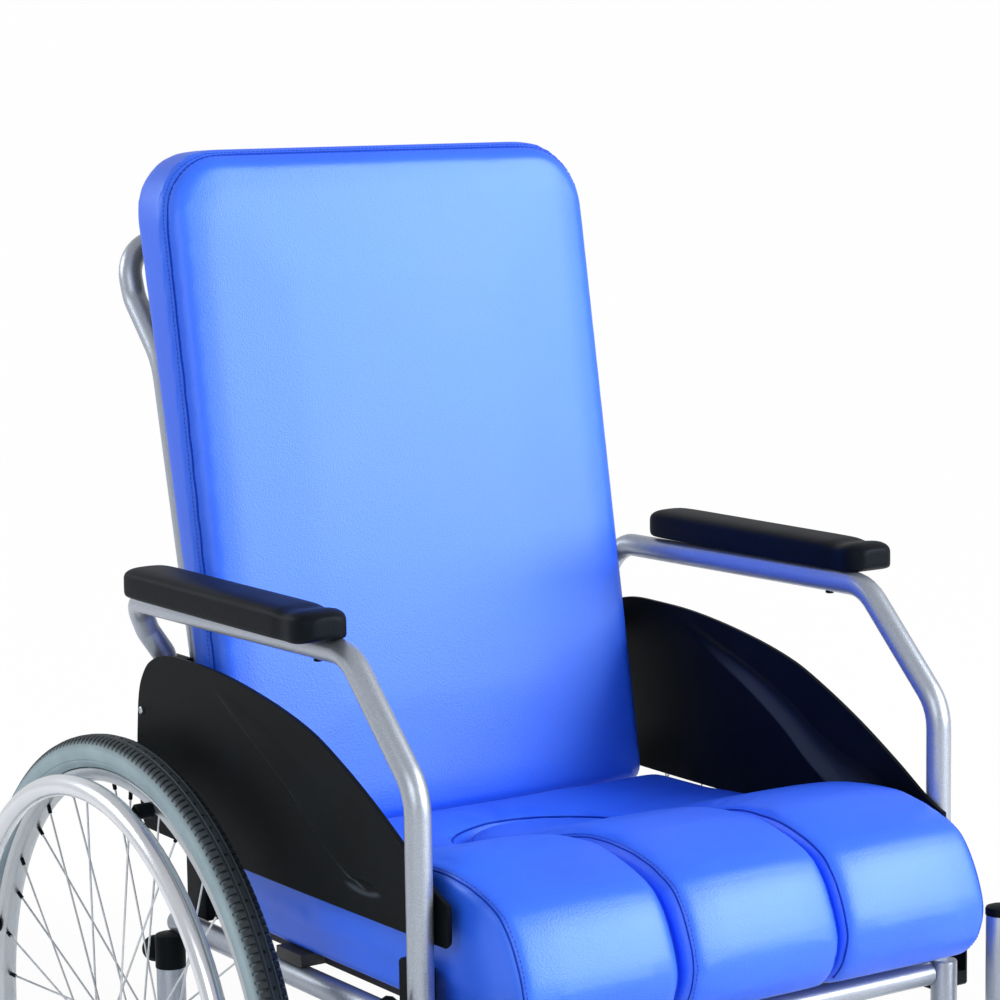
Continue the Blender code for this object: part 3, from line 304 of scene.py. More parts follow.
# %% Plastics, rubber and board
black = Finish("black_moulded_plastic", Specular_IOR_Level=0.085, Specular_Tint=(0.75, 0.9, 1.0))
spark = black.cells(1100.0)
dust = black.speckle(14.0, 4.0)
worn = black.ramp(dust, 0.4, 0.75)
matt = black.blend(worn, (0.0022, 0.003, 0.004), (0.0045, 0.006, 0.008))
# Painted highlight: where a piece carries the painted sheen attribute, the black turns a lighter blue-grey
# in place of light on the surface.
black.wear(
    black.blend(black.painted_sheen(), matt, (0.05, 0.062, 0.08)),
    0.42 + 0.1 * dust + 0.05 * spark,
    height=spark,
    depth=0.00008,
)

pad_skin = Finish("black_foam_skin", Specular_IOR_Level=0.11, Specular_Tint=(0.7, 0.85, 1.0))
pebble = pad_skin.cells(360.0)
rub = pad_skin.speckle(22.0, 3.0)
pad_skin.wear(
    pad_skin.blend(rub, (0.0022, 0.003, 0.005), (0.0045, 0.006, 0.009)),
    0.44 + 0.12 * rub,
    height=0.8 * pebble + 0.4 * pad_skin.speckle(120.0),
    depth=0.00014,
)

rubber = Finish("grey_tyre_rubber", Specular_IOR_Level=0.35)
scuff = rubber.speckle(30.0, 5.0)
from_axle = rubber.apart((0.0, DEPTH, WHEEL_R), (0.0, 1.0, 1.0))
pale = rubber.blend(rubber.ramp(scuff, 0.35, 0.7), (0.3, 0.4, 0.45), (0.37, 0.48, 0.53))
dark = rubber.blend(scuff, (0.018, 0.026, 0.032), (0.04, 0.055, 0.066))
rubber.wear(
    rubber.blend(rubber.ramp(from_axle, 0.2962, 0.2985), pale, dark),
    0.5 + 0.2 * scuff,
    height=rubber.speckle(800.0, 2.0) + 0.5 * scuff,
    depth=0.00012,
)

board = clouded("black_laminate_board", (40.0, 5.0),
                ((0.02, 0.021, 0.024), (0.042, 0.043, 0.047)), (0.5, 0.2), 0.0001, 500.0)
pan_white = clouded("white_pan_plastic", (18.0, 3.0),
                    ((0.7, 0.72, 0.71), (0.8, 0.81, 0.8)), (0.26, 0.12), 0.00005, 300.0,
                    Subsurface_Weight=0.06, Subsurface_Radius=(0.004, 0.004, 0.004))
print("hard finishes made")

# %% [markdown]
# ## Finish of each slot
#
# The record names a slot for each solid, which says what it is made of, and the table
# below gives each slot a finish. A finer piece takes the place of every solid below. The
# small fittings look up the finish of their slot here; the other pieces are given theirs
# where they are made.

# %% Slots and their finishes
slot_finish = {
    "vinyl": vinyl, "frame_paint": silver, "black_fittings": black, "pad_skin": pad_skin,
    "tyre": rubber, "rim": alloy, "handrim": bright, "spokes": steel, "bolts": steel,
    "board": board, "pan_plastic": pan_white,
}
body_of = {node: body for body, group in frame["record"]["behaviour"]["bodies"].items() for node in group}
slot_of = {piece["node"]: piece["material_slot"] for piece in frame["record"]["subparts"]}
print(len(slot_of), "solids in", len(slot_finish), "slots")

# %% [markdown]
# ## Modelling helpers
#
# Every new piece starts from a primitive and is shaped in edit mode. Operators act on
# whatever is selected, so each helper first clears the selection. Faces and edges are
# then picked by their place, which stays right when a size changes.


# %% Start, pick and finish a piece
def leave_edit():
    if bpy.context.mode != "OBJECT":
        bpy.ops.object.mode_set(mode="OBJECT")


def select_only(piece):
    bpy.ops.object.select_all(action="DESELECT")
    bpy.context.view_layer.objects.active = piece
    piece.select_set(True)


def begin(name, add, **options):
    """Add a primitive, name it and place it in its mesh."""
    leave_edit()
    bpy.ops.object.select_all(action="DESELECT")
    add(**options)
    made = bpy.context.object
    made.name = made.data.name = name
    bpy.ops.object.transform_apply(location=True, rotation=True, scale=True)
    return made


def edit(piece, kind="VERT", action="DESELECT"):
    """Enter edit mode with nothing selected, or with everything."""
    select_only(piece)
    bpy.ops.object.mode_set(mode="EDIT")
    mesh.select_mode(type=kind)
    mesh.select_all(action=action)


def pick(piece, part, test):
    """Select the verts, edges or faces whose middle passes a test."""
    shape = bmesh.from_edit_mesh(piece.data)
    for item in getattr(shape, part):
        spots = [item.co] if part == "verts" else [v.co for v in item.verts]
        item.select_set(bool(test(sum(spots, Vector()) / len(spots))))
    shape.select_flush_mode()
    bmesh.update_edit_mesh(piece.data)


def weld(limit=0.00001):
    """Join points that lie in one place."""
    mesh.remove_doubles(threshold=limit)


def points(piece):
    """The places of a piece's points; moving one moves its point."""
    return [vertex.co for vertex in piece.data.vertices]


def merge():
    """Join points that lie in one place, and point all faces outwards."""
    weld()
    mesh.normals_make_consistent(inside=False)


def hang(piece, finish, body):
    """Give the piece its finish and hang it on its body."""
    piece.data.materials.clear()
    piece.data.materials.append(finish.material)
    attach(piece, body)


def done(piece, finish, body, smooth=35.0):
    """Merge, shade and hang a piece."""
    leave_edit()
    edit(piece, action="SELECT")
    merge()
    leave_edit()
    bpy.ops.object.shade_smooth_by_angle(angle=radians(smooth))
    hang(piece, finish, body)
    return piece


def apply_modifier(piece, kind, **settings):
    select_only(piece)
    made = piece.modifiers.new(kind.lower(), kind)
    for name, value in settings.items():
        setattr(made, name, value)
    bpy.ops.object.modifier_apply(modifier=made.name)


def break_edges(piece, width, segments=2, sharp=60):
    """Round the edges whose faces meet at more than an angle."""
    limit = radians(sharp)
    apply_modifier(piece, "BEVEL", width=width, segments=segments, limit_method="ANGLE", angle_limit=limit)


def pull(way):
    mesh.extrude_region_move(TRANSFORM_OT_translate={"value": way})


def inset(*steps):
    """Inset the picked faces by one (thickness, depth) after another, and leave edit mode."""
    for thickness, depth in steps:
        mesh.inset(thickness=thickness, depth=depth)
    leave_edit()


# %% A softened copy of a small solid
SHARP_ANGLE = 32.0  # degrees between two faces of a solid, from which their edge stays sharp


def softened(node, edge, smooth=46.0):
    """The solid's own shape, with broken edges and smooth round faces."""
    piece = placed(node + "_shape", nodes[node].data.copy())
    select_only(piece)
    bpy.ops.object.shade_smooth_by_angle(angle=radians(SHARP_ANGLE))
    piece.data.transform(nodes[node].matrix_world)
    edit(piece, action="SELECT")
    weld(0.00002)
    mesh.dissolve_limited(angle_limit=radians(0.5))
    leave_edit()
    if edge:
        break_edges(piece, edge, sharp=50)
    done(piece, slot_finish[slot_of[node]], body_of[node], smooth)
    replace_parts(piece, node)


# %% Bend a tube
BEND_STEP = 9.0  # degrees of a bend to each of its segments


def bent_tube(name, corners, bends, radius, sides=24):
    """A disc is pulled along the straights and spun round each bend, as a tube bender works."""
    corners = [Vector(corner) for corner in corners]
    way = (corners[1] - corners[0]).normalized()
    tilt = way.to_track_quat("Z", "Y").to_euler()
    piece = begin(name, mesh.primitive_circle_add, vertices=sides, radius=radius,
                  fill_type="NGON", location=corners[0], rotation=tilt)
    edit(piece, "FACE", "SELECT")
    reached = corners[0]
    for corner, after, bend in zip(corners[1:-1], corners[2:], bends):
        way, leave = (corner - reached).normalized(), (after - corner).normalized()
        turn = way.angle(leave)
        run_out = bend * tan(turn / 2)
        start = corner - way * run_out
        pull(start - reached)
        axis = way.cross(leave).normalized()
        middle = start + axis.cross(way) * bend
        steps = max(3, round(degrees(turn) / BEND_STEP))
        mesh.spin(steps=steps, angle=-turn, center=middle, axis=axis)
        reached = corner + leave * run_out
    pull(corners[-1] - reached)
    return piece


# %% A straight round rod
def rod(name, start, end, radius, sides=24):
    start, end = Vector(start), Vector(end)
    way = end - start
    tilt = way.to_track_quat("Z", "Y").to_euler()
    return begin(name, mesh.primitive_cylinder_add, vertices=sides, radius=radius, depth=way.length,
                 location=(start + end) / 2, rotation=tilt)


# %% Turn a round piece
AXES = {"X": Vector((1, 0, 0)), "Y": Vector((0, 1, 0)), "Z": Vector((0, 0, 1))}
OUT = {"X": Vector((0, 0, 1)), "Y": Vector((0, 0, 1)), "Z": Vector((0, 1, 0))}


def lathe(name, profile, centre, axis="X", steps=48, closed=False):
    """One point is extruded into the profile (reach, along), which is spun about an axis."""
    centre, along, out = Vector(centre), AXES[axis], OUT[axis]
    spots = [centre + out * reach + along * place for reach, place in profile]
    piece = begin(name, mesh.primitive_plane_add, size=0.001, location=spots[0])
    edit(piece, action="SELECT")
    mesh.merge(type="CENTER")
    for last, spot in zip(spots, spots[1:] + (spots[:1] if closed else [])):
        pull(spot - last)
    mesh.select_all(action="SELECT")
    mesh.spin(steps=steps, angle=tau, center=centre, axis=along)
    return piece


def ring_profile(reach, along, radius, sides):
    """A round section for a ring, as (reach, along) points."""
    turns = [tau * k / sides for k in range(sides)]
    return [(reach + radius * cos(turn), along + radius * sin(turn)) for turn in turns]


# %% Copy and join
def copies(piece, places, name):
    """Copy a piece's own mesh to each place, and join the copies to one piece."""
    made = []
    for place in places:
        made.append(placed(name, piece.data.copy()))
        made[-1].data.transform(place)
    bpy.data.objects.remove(piece)
    return joined(made, name)


def joined(pieces, name):
    """Join pieces to the first of them."""
    bpy.ops.object.select_all(action="DESELECT")
    for piece in pieces:
        piece.select_set(True)
    bpy.context.view_layer.objects.active = pieces[0]
    if len(pieces) > 1:
        bpy.ops.object.join()
    pieces[0].name = pieces[0].data.name = name
    return pieces[0]


MIRROR = Matrix.Scale(-1, 4, (1, 0, 0))


def twin(piece, name):
    """The mirror image of a piece, with its own mesh."""
    other = placed(name, piece.data.copy())
    other.data.transform(MIRROR)
    other.data.flip_normals()
    return other


def both(piece, stem, finish, body, slot, *stands_for, smooth=35.0):
    """Finish a left piece and its mirror image on the right."""
    leave_edit()
    piece.name = piece.data.name = f"{stem}_left"
    pair = {"left": piece, "right": twin(piece, f"{stem}_right")}
    for side, each in pair.items():
        own_body = body if body == "frame" else f"{body}_{side}"
        done(each, finish, own_body, smooth)
        if stands_for:
            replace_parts(each, *[f"{node}_{side}" for node in stands_for])
    return pair


# %% A soft step
def clamp(value, low=0.0, high=1.0):
    return min(max(value, low), high)


def smooth_step(low, high, value):
    """Goes from 0 to 1 between two values, in either direction."""
    share = clamp((value - low) / (high - low))
    return share * share * (3 - 2 * share)


# %% A smooth curve through measured points
def height_at(curve, place):
    """The curve's height at a place, smooth through points listed from front to back."""
    last = len(curve) - 1
    place = clamp(place, curve[0][0], curve[last][0])
    k = max(i for i in range(last) if curve[i][0] <= place)
    run = curve[k + 1][0] - curve[k][0]
    share = (place - curve[k][0]) / run

    def slope(i):
        before, after = curve[max(i - 1, 0)], curve[min(i + 1, last)]
        return (after[1] - before[1]) / (after[0] - before[0])

    rest = 1 - share
    ends = curve[k][1] * rest * rest * (1 + 2 * share) + curve[k + 1][1] * share * share * (3 - 2 * share)
    return ends + run * share * rest * (slope(k) * rest - slope(k + 1) * share)


print("helpers ready")

# %% [markdown]
# ## Tubes
#
# The chair's frame is 22 mm steel tube, bent cold, so every corner is an arc of a few
# centimetres. The solid model keeps its tubes and bends coarse. They are all made again
# here on the same centre lines, with more sides, finer bends and broken ends.

# %% Arm tubes
ARM_X = 0.2727
ARM_TOP_Z = 0.7387
POST_Y = DEPTH - 0.467
HINGE = Vector((0.2405, DEPTH + 0.015, 0.656))
arm_line = [
    (ARM_X, POST_Y, 0.412), (ARM_X, POST_Y, 0.6419), (ARM_X, DEPTH - 0.3683, ARM_TOP_Z),
    (ARM_X, DEPTH + 0.007, ARM_TOP_Z - 0.004), (0.257, DEPTH + 0.015, 0.703),
    (HINGE.x, HINGE.y, 0.679), (HINGE.x, HINGE.y, HINGE.z - 0.007),
]
arm_tubes = both(
    bent_tube("arm_tube", arm_line, [0.045, 0.045, 0.026, 0.02, 0.014], TUBE_R),
    "arm_tube", silver, "arm", "frame_paint", "arm_frame",
)
print("arm tube faces", len(arm_tubes["left"].data.polygons))

# %% Push bar with its two back posts
BACK_X = 0.21


def post_depth(z):
    """The back posts lean: their depth at a height."""
    return DEPTH + 0.0035 + 0.222 * (z - 0.69)


push_line = [
    (BACK_X, post_depth(0.425), 0.425), (BACK_X, post_depth(0.945), 0.945),
    (BACK_X, DEPTH + 0.113, 1.0), (BACK_X, DEPTH + 0.131, 1.051),
]
push_line += [(-x, y, z) for x, y, z in reversed(push_line)]
push_bar = bent_tube("push_bar", push_line, [0.06, 0.03, 0.036, 0.036, 0.03, 0.06], TUBE_R)
done(push_bar, silver, "frame")
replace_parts(push_bar, "push_bar_frame")
print("push bar faces", len(push_bar.data.polygons))

# %% Side frames and cross tubes
RAIL_X, UPRIGHT_X, HANGER_X = 0.2375, 0.2515, 0.268
RAIL_Z, LOW_Z = 0.428, 0.262
FRONT_Y, SWIVEL_Y, HANGER_Y = POST_Y - 0.047, POST_Y - 0.018, POST_Y - 0.086
frame_rods = [
    ((RAIL_X, DEPTH + 0.012, RAIL_Z), (RAIL_X, FRONT_Y + 0.011, RAIL_Z), TUBE_R),
    ((UPRIGHT_X, DEPTH, LOW_Z - 0.026), (UPRIGHT_X, DEPTH, RAIL_Z - 0.01), 0.0135),
    ((UPRIGHT_X, DEPTH, LOW_Z), (RAIL_X, FRONT_Y, LOW_Z), 0.01),
    ((RAIL_X, FRONT_Y, LOW_Z - 0.012), (RAIL_X, FRONT_Y, RAIL_Z + 0.002), 0.0115),
    ((RAIL_X, SWIVEL_Y, LOW_Z - 0.0395), (RAIL_X, SWIVEL_Y, LOW_Z + 0.012), 0.016),
    ((RAIL_X, FRONT_Y, LOW_Z - 0.012), (RAIL_X, SWIVEL_Y, LOW_Z - 0.012), 0.01),
    ((RAIL_X, FRONT_Y, 0.3125), (HANGER_X, HANGER_Y, 0.3125), 0.005),
    ((HANGER_X, HANGER_Y, 0.306), (HANGER_X, HANGER_Y, 0.3172), 0.0125),
]
rods = [rod(f"rod_{number}", *ends) for number, ends in enumerate(frame_rods)]
side_tubes = joined(rods, "side_tubes")
break_edges(side_tubes, 0.0012)
both(side_tubes, "side_tubes", silver, "frame", "frame_paint", "side_frame")
for name, half, y, z, radius in (
    ("front_cross_tube", 0.2254, FRONT_Y + 0.007, RAIL_Z - 0.01, 0.0105),
    ("rear_cross_tube", 0.2377, DEPTH, LOW_Z - 0.014, 0.0105),
    ("back_cross_tube", 0.1987, post_depth(0.6), 0.6, 0.009),
):
    cross = rod(name + "_bar", (-half, y, z), (half, y, z), radius)
    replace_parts(done(cross, silver, "frame"), name)
print("side frames and cross tubes")

# %% Footrest hangers and black end caps
foot_top = Vector((HANGER_X, HANGER_Y - 0.057, RAIL_Z - 0.076))
foot_way = Vector((-0.016, -0.106, -0.224)).normalized()
hanger_line = [(HANGER_X, HANGER_Y - 0.004, RAIL_Z - 0.064), (HANGER_X, foot_top.y + 0.004, RAIL_Z - 0.064),
               foot_top + foot_way * 0.15]
sleeve = rod("sleeve", (HANGER_X, HANGER_Y, 0.3177), (HANGER_X, HANGER_Y, RAIL_Z + 0.05), 0.013)
break_edges(sleeve, 0.0012)
arm = bent_tube("hanger_arm", hanger_line, [0.026], 0.0115)
leave_edit()
hanger = joined([sleeve, arm], "hanger")
both(hanger, "hanger_tubes", silver, "hanger", "frame_paint", "footrest_hanger")


def end_cap(name, spot, radius, depth, body):
    """A black plastic plug that covers the top of a tube, with a rounded rim."""
    profile = [(0.0, 0.0022), (radius * 0.7, 0.0018), (radius * 0.94, 0.0006), (radius, -0.0012)]
    profile += [(radius, -depth), (radius - 0.002, -depth), (0.0, -depth)]
    cap = lathe(name, profile, spot, "Z", 28)
    both(cap, name, black, body, "black_fittings", smooth=40.0)


end_cap("hanger_cap", (HANGER_X, HANGER_Y, RAIL_Z + 0.052), 0.0136, 0.006, "hanger")
end_cap("upright_cap", (UPRIGHT_X, DEPTH, RAIL_Z - 0.0085), 0.0142, 0.03, "frame")
print("hangers and caps")

# %% Ball knobs of the rear uprights
BALL_R = 0.0125
knob_line = [(0.0, -0.016), (0.0045, -0.016), (0.005, -0.0118)]
for turn in map(radians, range(28, 180, 8)):
    knob_line.append((BALL_R * sin(turn), -BALL_R * cos(turn)))
knob_line.append((0.0, BALL_R))
knob = lathe("ball_knob", knob_line, (UPRIGHT_X, DEPTH + 0.03, 0.4), "Y", 28)
both(knob, "ball_knob", black, "knob", "black_fittings", "frame_knob", smooth=60.0)

# %% [markdown]
# ## Cushions
#
# Each cushion is a block of foam in a sewn vinyl cover. The foam pushes the cover out
# between its seams, so the faces are slightly crowned and the corners are round. The solid
# cushion is copied, cut into an even net and blown up a little with Blender's Cloth. Its
# seams, which such a net would lose, are laid on afterwards.


# %% Swell a cover over its foam
def foam_block(node, name, voxel, smoothing):
    """A merged copy of a soft solid, as an even net with softened corners."""
    piece = placed(name, nodes[node].data.copy())
    edit(piece, action="SELECT")
    weld()
    leave_edit()
    apply_modifier(piece, "REMESH", mode="VOXEL", voxel_size=voxel, use_smooth_shade=True)
    apply_modifier(piece, "SMOOTH", factor=0.5, iterations=smoothing)
    return piece


PRESSURE, SWELL_FRAMES = 3.0, 20


def swell(piece, cap, share=lambda spot: 1.0):
    """Blow the cover up with Cloth. A point moves out by its share of that, up to the cap."""
    rest = [(vertex.co.copy(), vertex.normal.copy()) for vertex in piece.data.vertices]
    scene = bpy.context.scene
    cloth = piece.modifiers.new("swell", "CLOTH")
    cloth.settings.use_pressure, cloth.settings.uniform_pressure_force = True, PRESSURE
    cloth.settings.effector_weights.gravity = 0.0
    cloth.settings.tension_stiffness = cloth.settings.compression_stiffness = 25.0
    cloth.settings.quality = 4
    cloth.point_cache.frame_start, cloth.point_cache.frame_end = 1, SWELL_FRAMES
    for number in range(1, SWELL_FRAMES + 1):
        scene.frame_set(number)
    select_only(piece)
    bpy.ops.object.modifier_apply(modifier="swell")
    scene.frame_set(1)
    most = 0.0
    for vertex, (start, out) in zip(piece.data.vertices, rest):
        moved = (vertex.co - start).dot(out)
        most = max(most, moved)
        vertex.co = start + out * cap * tanh(max(moved, 0.0) / cap) * share(start)
    apply_modifier(piece, "SMOOTH", factor=0.5, iterations=2)
    print(piece.name, "points", len(rest), "swelled by at most", round(most * 1000, 1), "mm")


def finish_cushion(piece, node, body="frame"):
    apply_modifier(piece, "SUBSURF", levels=1, render_levels=1)
    bpy.ops.object.shade_smooth()
    hang(piece, vinyl, body)
    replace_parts(piece, node)


# %% Seams on a swollen cover
def laid(piece, path):
    """The nearest places on a cover to the points of a path, each with its outward direction."""
    shape = bmesh.new()
    shape.from_mesh(piece.data)
    cover = BVHTree.FromBMesh(shape)
    shape.free()
    return [cover.find_nearest(point)[:2] for point in path]


def tree_of(path):
    """A tree that finds the nearest point of a path."""
    places = KDTree(len(path))
    for number, point in enumerate(path):
        places.insert(point, number)
    places.balance()
    return places


def press_in(piece, path, depth, width):
    """Pull the cover in along a seam, deepest on the seam itself."""
    places = tree_of([spot for spot, _ in laid(piece, path)])
    outwards = [vertex.normal.copy() for vertex in piece.data.vertices]
    for vertex, out in zip(piece.data.vertices, outwards):
        away = places.find(vertex.co)[2] / width
        if away < 3.0:
            vertex.co -= out * depth * exp(-away * away)


def evenly(path, gap):
    """Points at even distances along a path, with the way that it runs there."""
    spots, left = [], 0.0
    for start, end in zip(path, path[1:]):
        way = end - start
        length = way.length
        while left < length and length > 0.0:
            spots.append((start + way * (left / length), way / length))
            left += gap
        left -= length
    return spots


def cord(name, piece, path, radius, lift, body="frame"):
    """A thin round cord that lies along a path on the cover."""
    spots = [spot + out * lift for spot, out in laid(piece, path)]
    for _ in range(4):
        spots[1:-1] = [(a + 2 * b + c) / 4 for a, b, c in zip(spots, spots[1:], spots[2:])]
    made = begin(name, bpy.ops.curve.primitive_nurbs_path_add)
    made.data.splines.clear()
    run = made.data.splines.new("POLY")
    run.points.add(len(spots) - 1)
    for point, spot in zip(run.points, spots):
        point.co = (*spot, 1.0)
    made.data.bevel_depth, made.data.bevel_resolution, made.data.use_fill_caps = radius, 1, True
    bpy.ops.object.convert(target="MESH")
    # The cord wears the dark piping finish, which partly paints the shade of a seam groove.
    done(bpy.context.object, piping_and_seam_shade, body, 80.0)


STITCH_PITCH = 0.0042


def stitches(name, piece, path, body="frame"):
    """A row of short threads along a path on the cover."""
    one = begin(name, mesh.primitive_cylinder_add, vertices=6, radius=0.00042, depth=0.0026)
    places, steps = [], evenly(path, STITCH_PITCH)
    for (spot, out), (_, way) in zip(laid(piece, [place for place, _ in steps]), steps):
        across = way.cross(out).normalized()
        turned = Matrix((across, out, across.cross(out))).transposed().to_4x4()
        places.append(Matrix.Translation(spot + out * 0.0001) @ turned)
    done(copies(one, places, name), thread, body, 60.0)


# %% Back cushion
BACK_HALF, BACK_LOW, BACK_TOP = 0.2335, 0.508, 1.138
TOP_BEND, LOW_BEND = 0.062, 0.022
SEAM_SETBACK = 0.0055


def front_depth(z):
    """Depth of the leaning front of the back cushion at a height."""
    return DEPTH + 0.002 - 0.167 * (1.085 - z)


def inside_edge(x, z):
    """Distance from a place on the front to the cushion's outline."""
    middle = (BACK_LOW + BACK_TOP) / 2
    bend = TOP_BEND if z > middle else LOW_BEND
    over_x = abs(x) - (BACK_HALF - bend)
    over_z = abs(z - middle) - ((BACK_TOP - BACK_LOW) / 2 - bend)
    return bend - hypot(max(over_x, 0.0), max(over_z, 0.0)) - min(max(over_x, over_z), 0.0)


def back_outline(setback, step=0.006):
    """The loop round the cushion's front, as points."""
    corners = []
    for first, side in zip(range(0, 360, 90), (1, -1, -1, 1)):
        bend = TOP_BEND if first < 180 else LOW_BEND
        centre_z = BACK_TOP - bend if first < 180 else BACK_LOW + bend
        for turn in map(radians, range(first, first + 91, 9)):
            x = side * (BACK_HALF - bend) + bend * cos(turn)
            corners.append(Vector((x, 0.0, centre_z + bend * sin(turn))))
    corners.append(corners[0])
    loop = [spot for spot, _ in evenly(corners, step)]
    loop.append(loop[0].copy())
    for spot in loop:
        spot.y = front_depth(spot.z) + setback
    return loop


back = foam_block("back_cushion", "back_cover", 0.006, 4)
swell(back, 0.0015, lambda spot: smooth_step(0.002, 0.04, inside_edge(spot.x, spot.z)))
for spot in points(back):
    if spot.y < front_depth(spot.z) + 0.014:
        spot.y += 0.006 * (1 - smooth_step(0.001, 0.017, inside_edge(spot.x, spot.z)))
finish_cushion(back, "back_cushion")
back_line = back_outline(SEAM_SETBACK)
press_in(back, back_line, 0.0014, 0.0035)
cord("back_seam", back, back_line, 0.001, -0.0001)
stitches("back_stitches", back, back_outline(0.01))
print("back outline points", len(back_line))

# %% Seat cushion and its lift-out insert
INSERT_HALF = 0.082
SEAT_HALF = 0.243
seat_line = [
    (-0.145, 0.525), (-0.205, 0.525), (-0.24, 0.528), (-0.273, 0.533), (-0.317, 0.546),
    (-0.355, 0.5575), (-0.388, 0.566), (-0.415, 0.571), (-0.437, 0.572), (-0.479, 0.57),
    (-0.508, 0.563), (-0.535, 0.551), (-0.55, 0.533), (-0.56, 0.512), (-0.567, 0.487),
    (-0.56, 0.46), (-0.544, 0.442),
]


def along_seat(x, first=0, step=0.004):
    """The line over the seat and its front roll, at one distance from the middle."""
    corners = [Vector((x, DEPTH + y, z)) for y, z in seat_line[first:]]
    return [spot for spot, _ in evenly(corners, step)]


seat = foam_block("seat_cushion", "seat_cover", 0.005, 9)
swell(seat, 0.0025)
insert = foam_block("seat_insert", "insert_cover", 0.0045, 9)
swell(insert, 0.0025)
ARC_Y = DEPTH - 0.26


def keep_to_slot(piece, outside, gap):
    """Cushions that press together are flat there: hold each point on its own side."""
    for spot in points(piece):
        reach = hypot(spot.x, max(spot.y - ARC_Y, 0.0))
        wall = INSERT_HALF + 0.0004 + (gap if outside else -gap)
        if (reach < wall) if outside else (reach > wall):
            share = wall / max(reach, 1e-6)
            spot.x *= share
            if spot.y > ARC_Y:
                spot.y = ARC_Y + (spot.y - ARC_Y) * share


seat_spots = along_seat(0.0, 0, 0.001)
seat_tree = tree_of(seat_spots)
seat_ways = [way for _, way in evenly([Vector((0.0, DEPTH + y, z)) for y, z in seat_line], 0.001)]

ROLL_MIDDLE = Vector((0.0, DEPTH - 0.495, 0.5))
roll_line = []
for y, z in seat_line[::-1]:
    reach = Vector((DEPTH + y - ROLL_MIDDLE.y, z - ROLL_MIDDLE.z))
    roll_line.append((atan2(reach.y, -reach.x), reach.length))


def bulge_at(turn):
    """How far the smooth line through the corners lies outside the facet there."""
    if not roll_line[0][0] < turn < roll_line[-1][0]:
        return 0.0
    k = max(i for i in range(len(roll_line) - 1) if roll_line[i][0] <= turn)
    (first, near), (second, far) = roll_line[k], roll_line[k + 1]
    across = near * sin(turn - first) + far * sin(second - turn)
    facet = near * far * sin(second - first) / across
    return (height_at(roll_line, turn) - facet) * (1 - smooth_step(2.2, 2.6, turn))


bulges = [bulge_at(radians(turn)) for turn in range(-70, 181)]
soft_bulges = []
for k in range(len(bulges)):
    near_by = bulges[max(k - 8, 0):k + 9]
    soft_bulges.append((radians(k - 70), sum(near_by) / len(near_by)))


def round_out(piece):
    """The solid's roll has flat facets: move its cover towards the smooth line through their corners."""
    for spot in points(piece):
        reach = Vector((spot.y - ROLL_MIDDLE.y, spot.z - ROLL_MIDDLE.z))
        turn = atan2(reach.y, -reach.x)
        grow = 1 + height_at(soft_bulges, turn) / max(reach.length, 0.03)
        spot.y, spot.z = ROLL_MIDDLE.y + reach.x * grow, ROLL_MIDDLE.z + reach.y * grow


def valley(piece, depths, widths, lean=0.0):
    """Sink a cushion's edge along the slot, the near side by the first depth, the far by the second."""
    for spot in points(piece):
        away = abs(hypot(spot.x, max(spot.y - ARC_Y, 0.0)) - INSERT_HALF)
        _, number, under = seat_tree.find(Vector((0.0, spot.y, spot.z)))
        way = seat_ways[number]
        far = smooth_step(-INSERT_HALF, INSERT_HALF, spot.x)
        depth, width = (near * (1 - far) + beyond * far for near, beyond in (depths, widths))
        upper = 1 - smooth_step(0.0, 0.03, under)
        sink = depth * exp(-((away / width) ** 2)) * upper
        spot.y -= way.z * sink
        spot.z += way.y * sink
        if lean:
            spot.x += lean * (1 - far) * exp(-((away / 0.02) ** 2)) * upper


finish_cushion(seat, "seat_cushion")
finish_cushion(insert, "seat_insert", "insert")
round_out(seat)
round_out(insert)
keep_to_slot(seat, True, 0.0011)
keep_to_slot(insert, False, 0.0011)
valley(seat, (0.0075, 0.0036), (0.0075, 0.0042))
valley(insert, (0.0026, 0.0036), (0.0042, 0.0042), 0.0036)

# %% Seams of the seat
SLOT_FIRST = 3  # the slot's straight sides start at this point of seat_line


def slot_path(near, far, grow):
    """Up the slot's near side, round its rear end and down its far side."""
    path = along_seat(near - INSERT_HALF, SLOT_FIRST)[::-1]
    for turn in map(radians, range(180, -1, -4)):
        across, behind = INSERT_HALF * cos(turn), INSERT_HALF * sin(turn)
        path.append(Vector((across * grow, ARC_Y + behind * grow, 0.529)))
    return path + along_seat(INSERT_HALF + far, SLOT_FIRST)


for side, way in SIDES:
    end_line = along_seat(way * (SEAT_HALF - 0.001), 2)
    press_in(seat, end_line, 0.0014, 0.004)
    cord(f"seat_seam_{side}", seat, end_line, 0.0009, -0.0001)
    stitches(f"seat_stitches_{side}", seat, along_seat(way * (SEAT_HALF - 0.005), 5))
# Painted shadow: this dark cord lies in the gap round the insert and stands in for the shade down in that
# gap.
cord("slot_gap_shade_cord", seat, slot_path(-0.0014, 0.0014, 1.017), 0.0011, -0.0002)
ring = slot_path(0.0045, -0.004, 0.94)
press_in(insert, ring, 0.0008, 0.003)
cord("insert_seam", insert, ring, 0.0008, -0.0001, "insert")
stitches("insert_stitches", insert, along_seat(-INSERT_HALF + 0.009, SLOT_FIRST), "insert")

# %% [markdown]
# ## Arm pads
#
# The pads are moulded from self-skinning foam: a long bar with a softly crowned top and a
# thumb hollow behind its rounded front end. A cylinder is cut into stations along its
# length. Each point then moves to a rounded square section, and the stations near both
# ends draw in along a quarter circle, as the mould does.

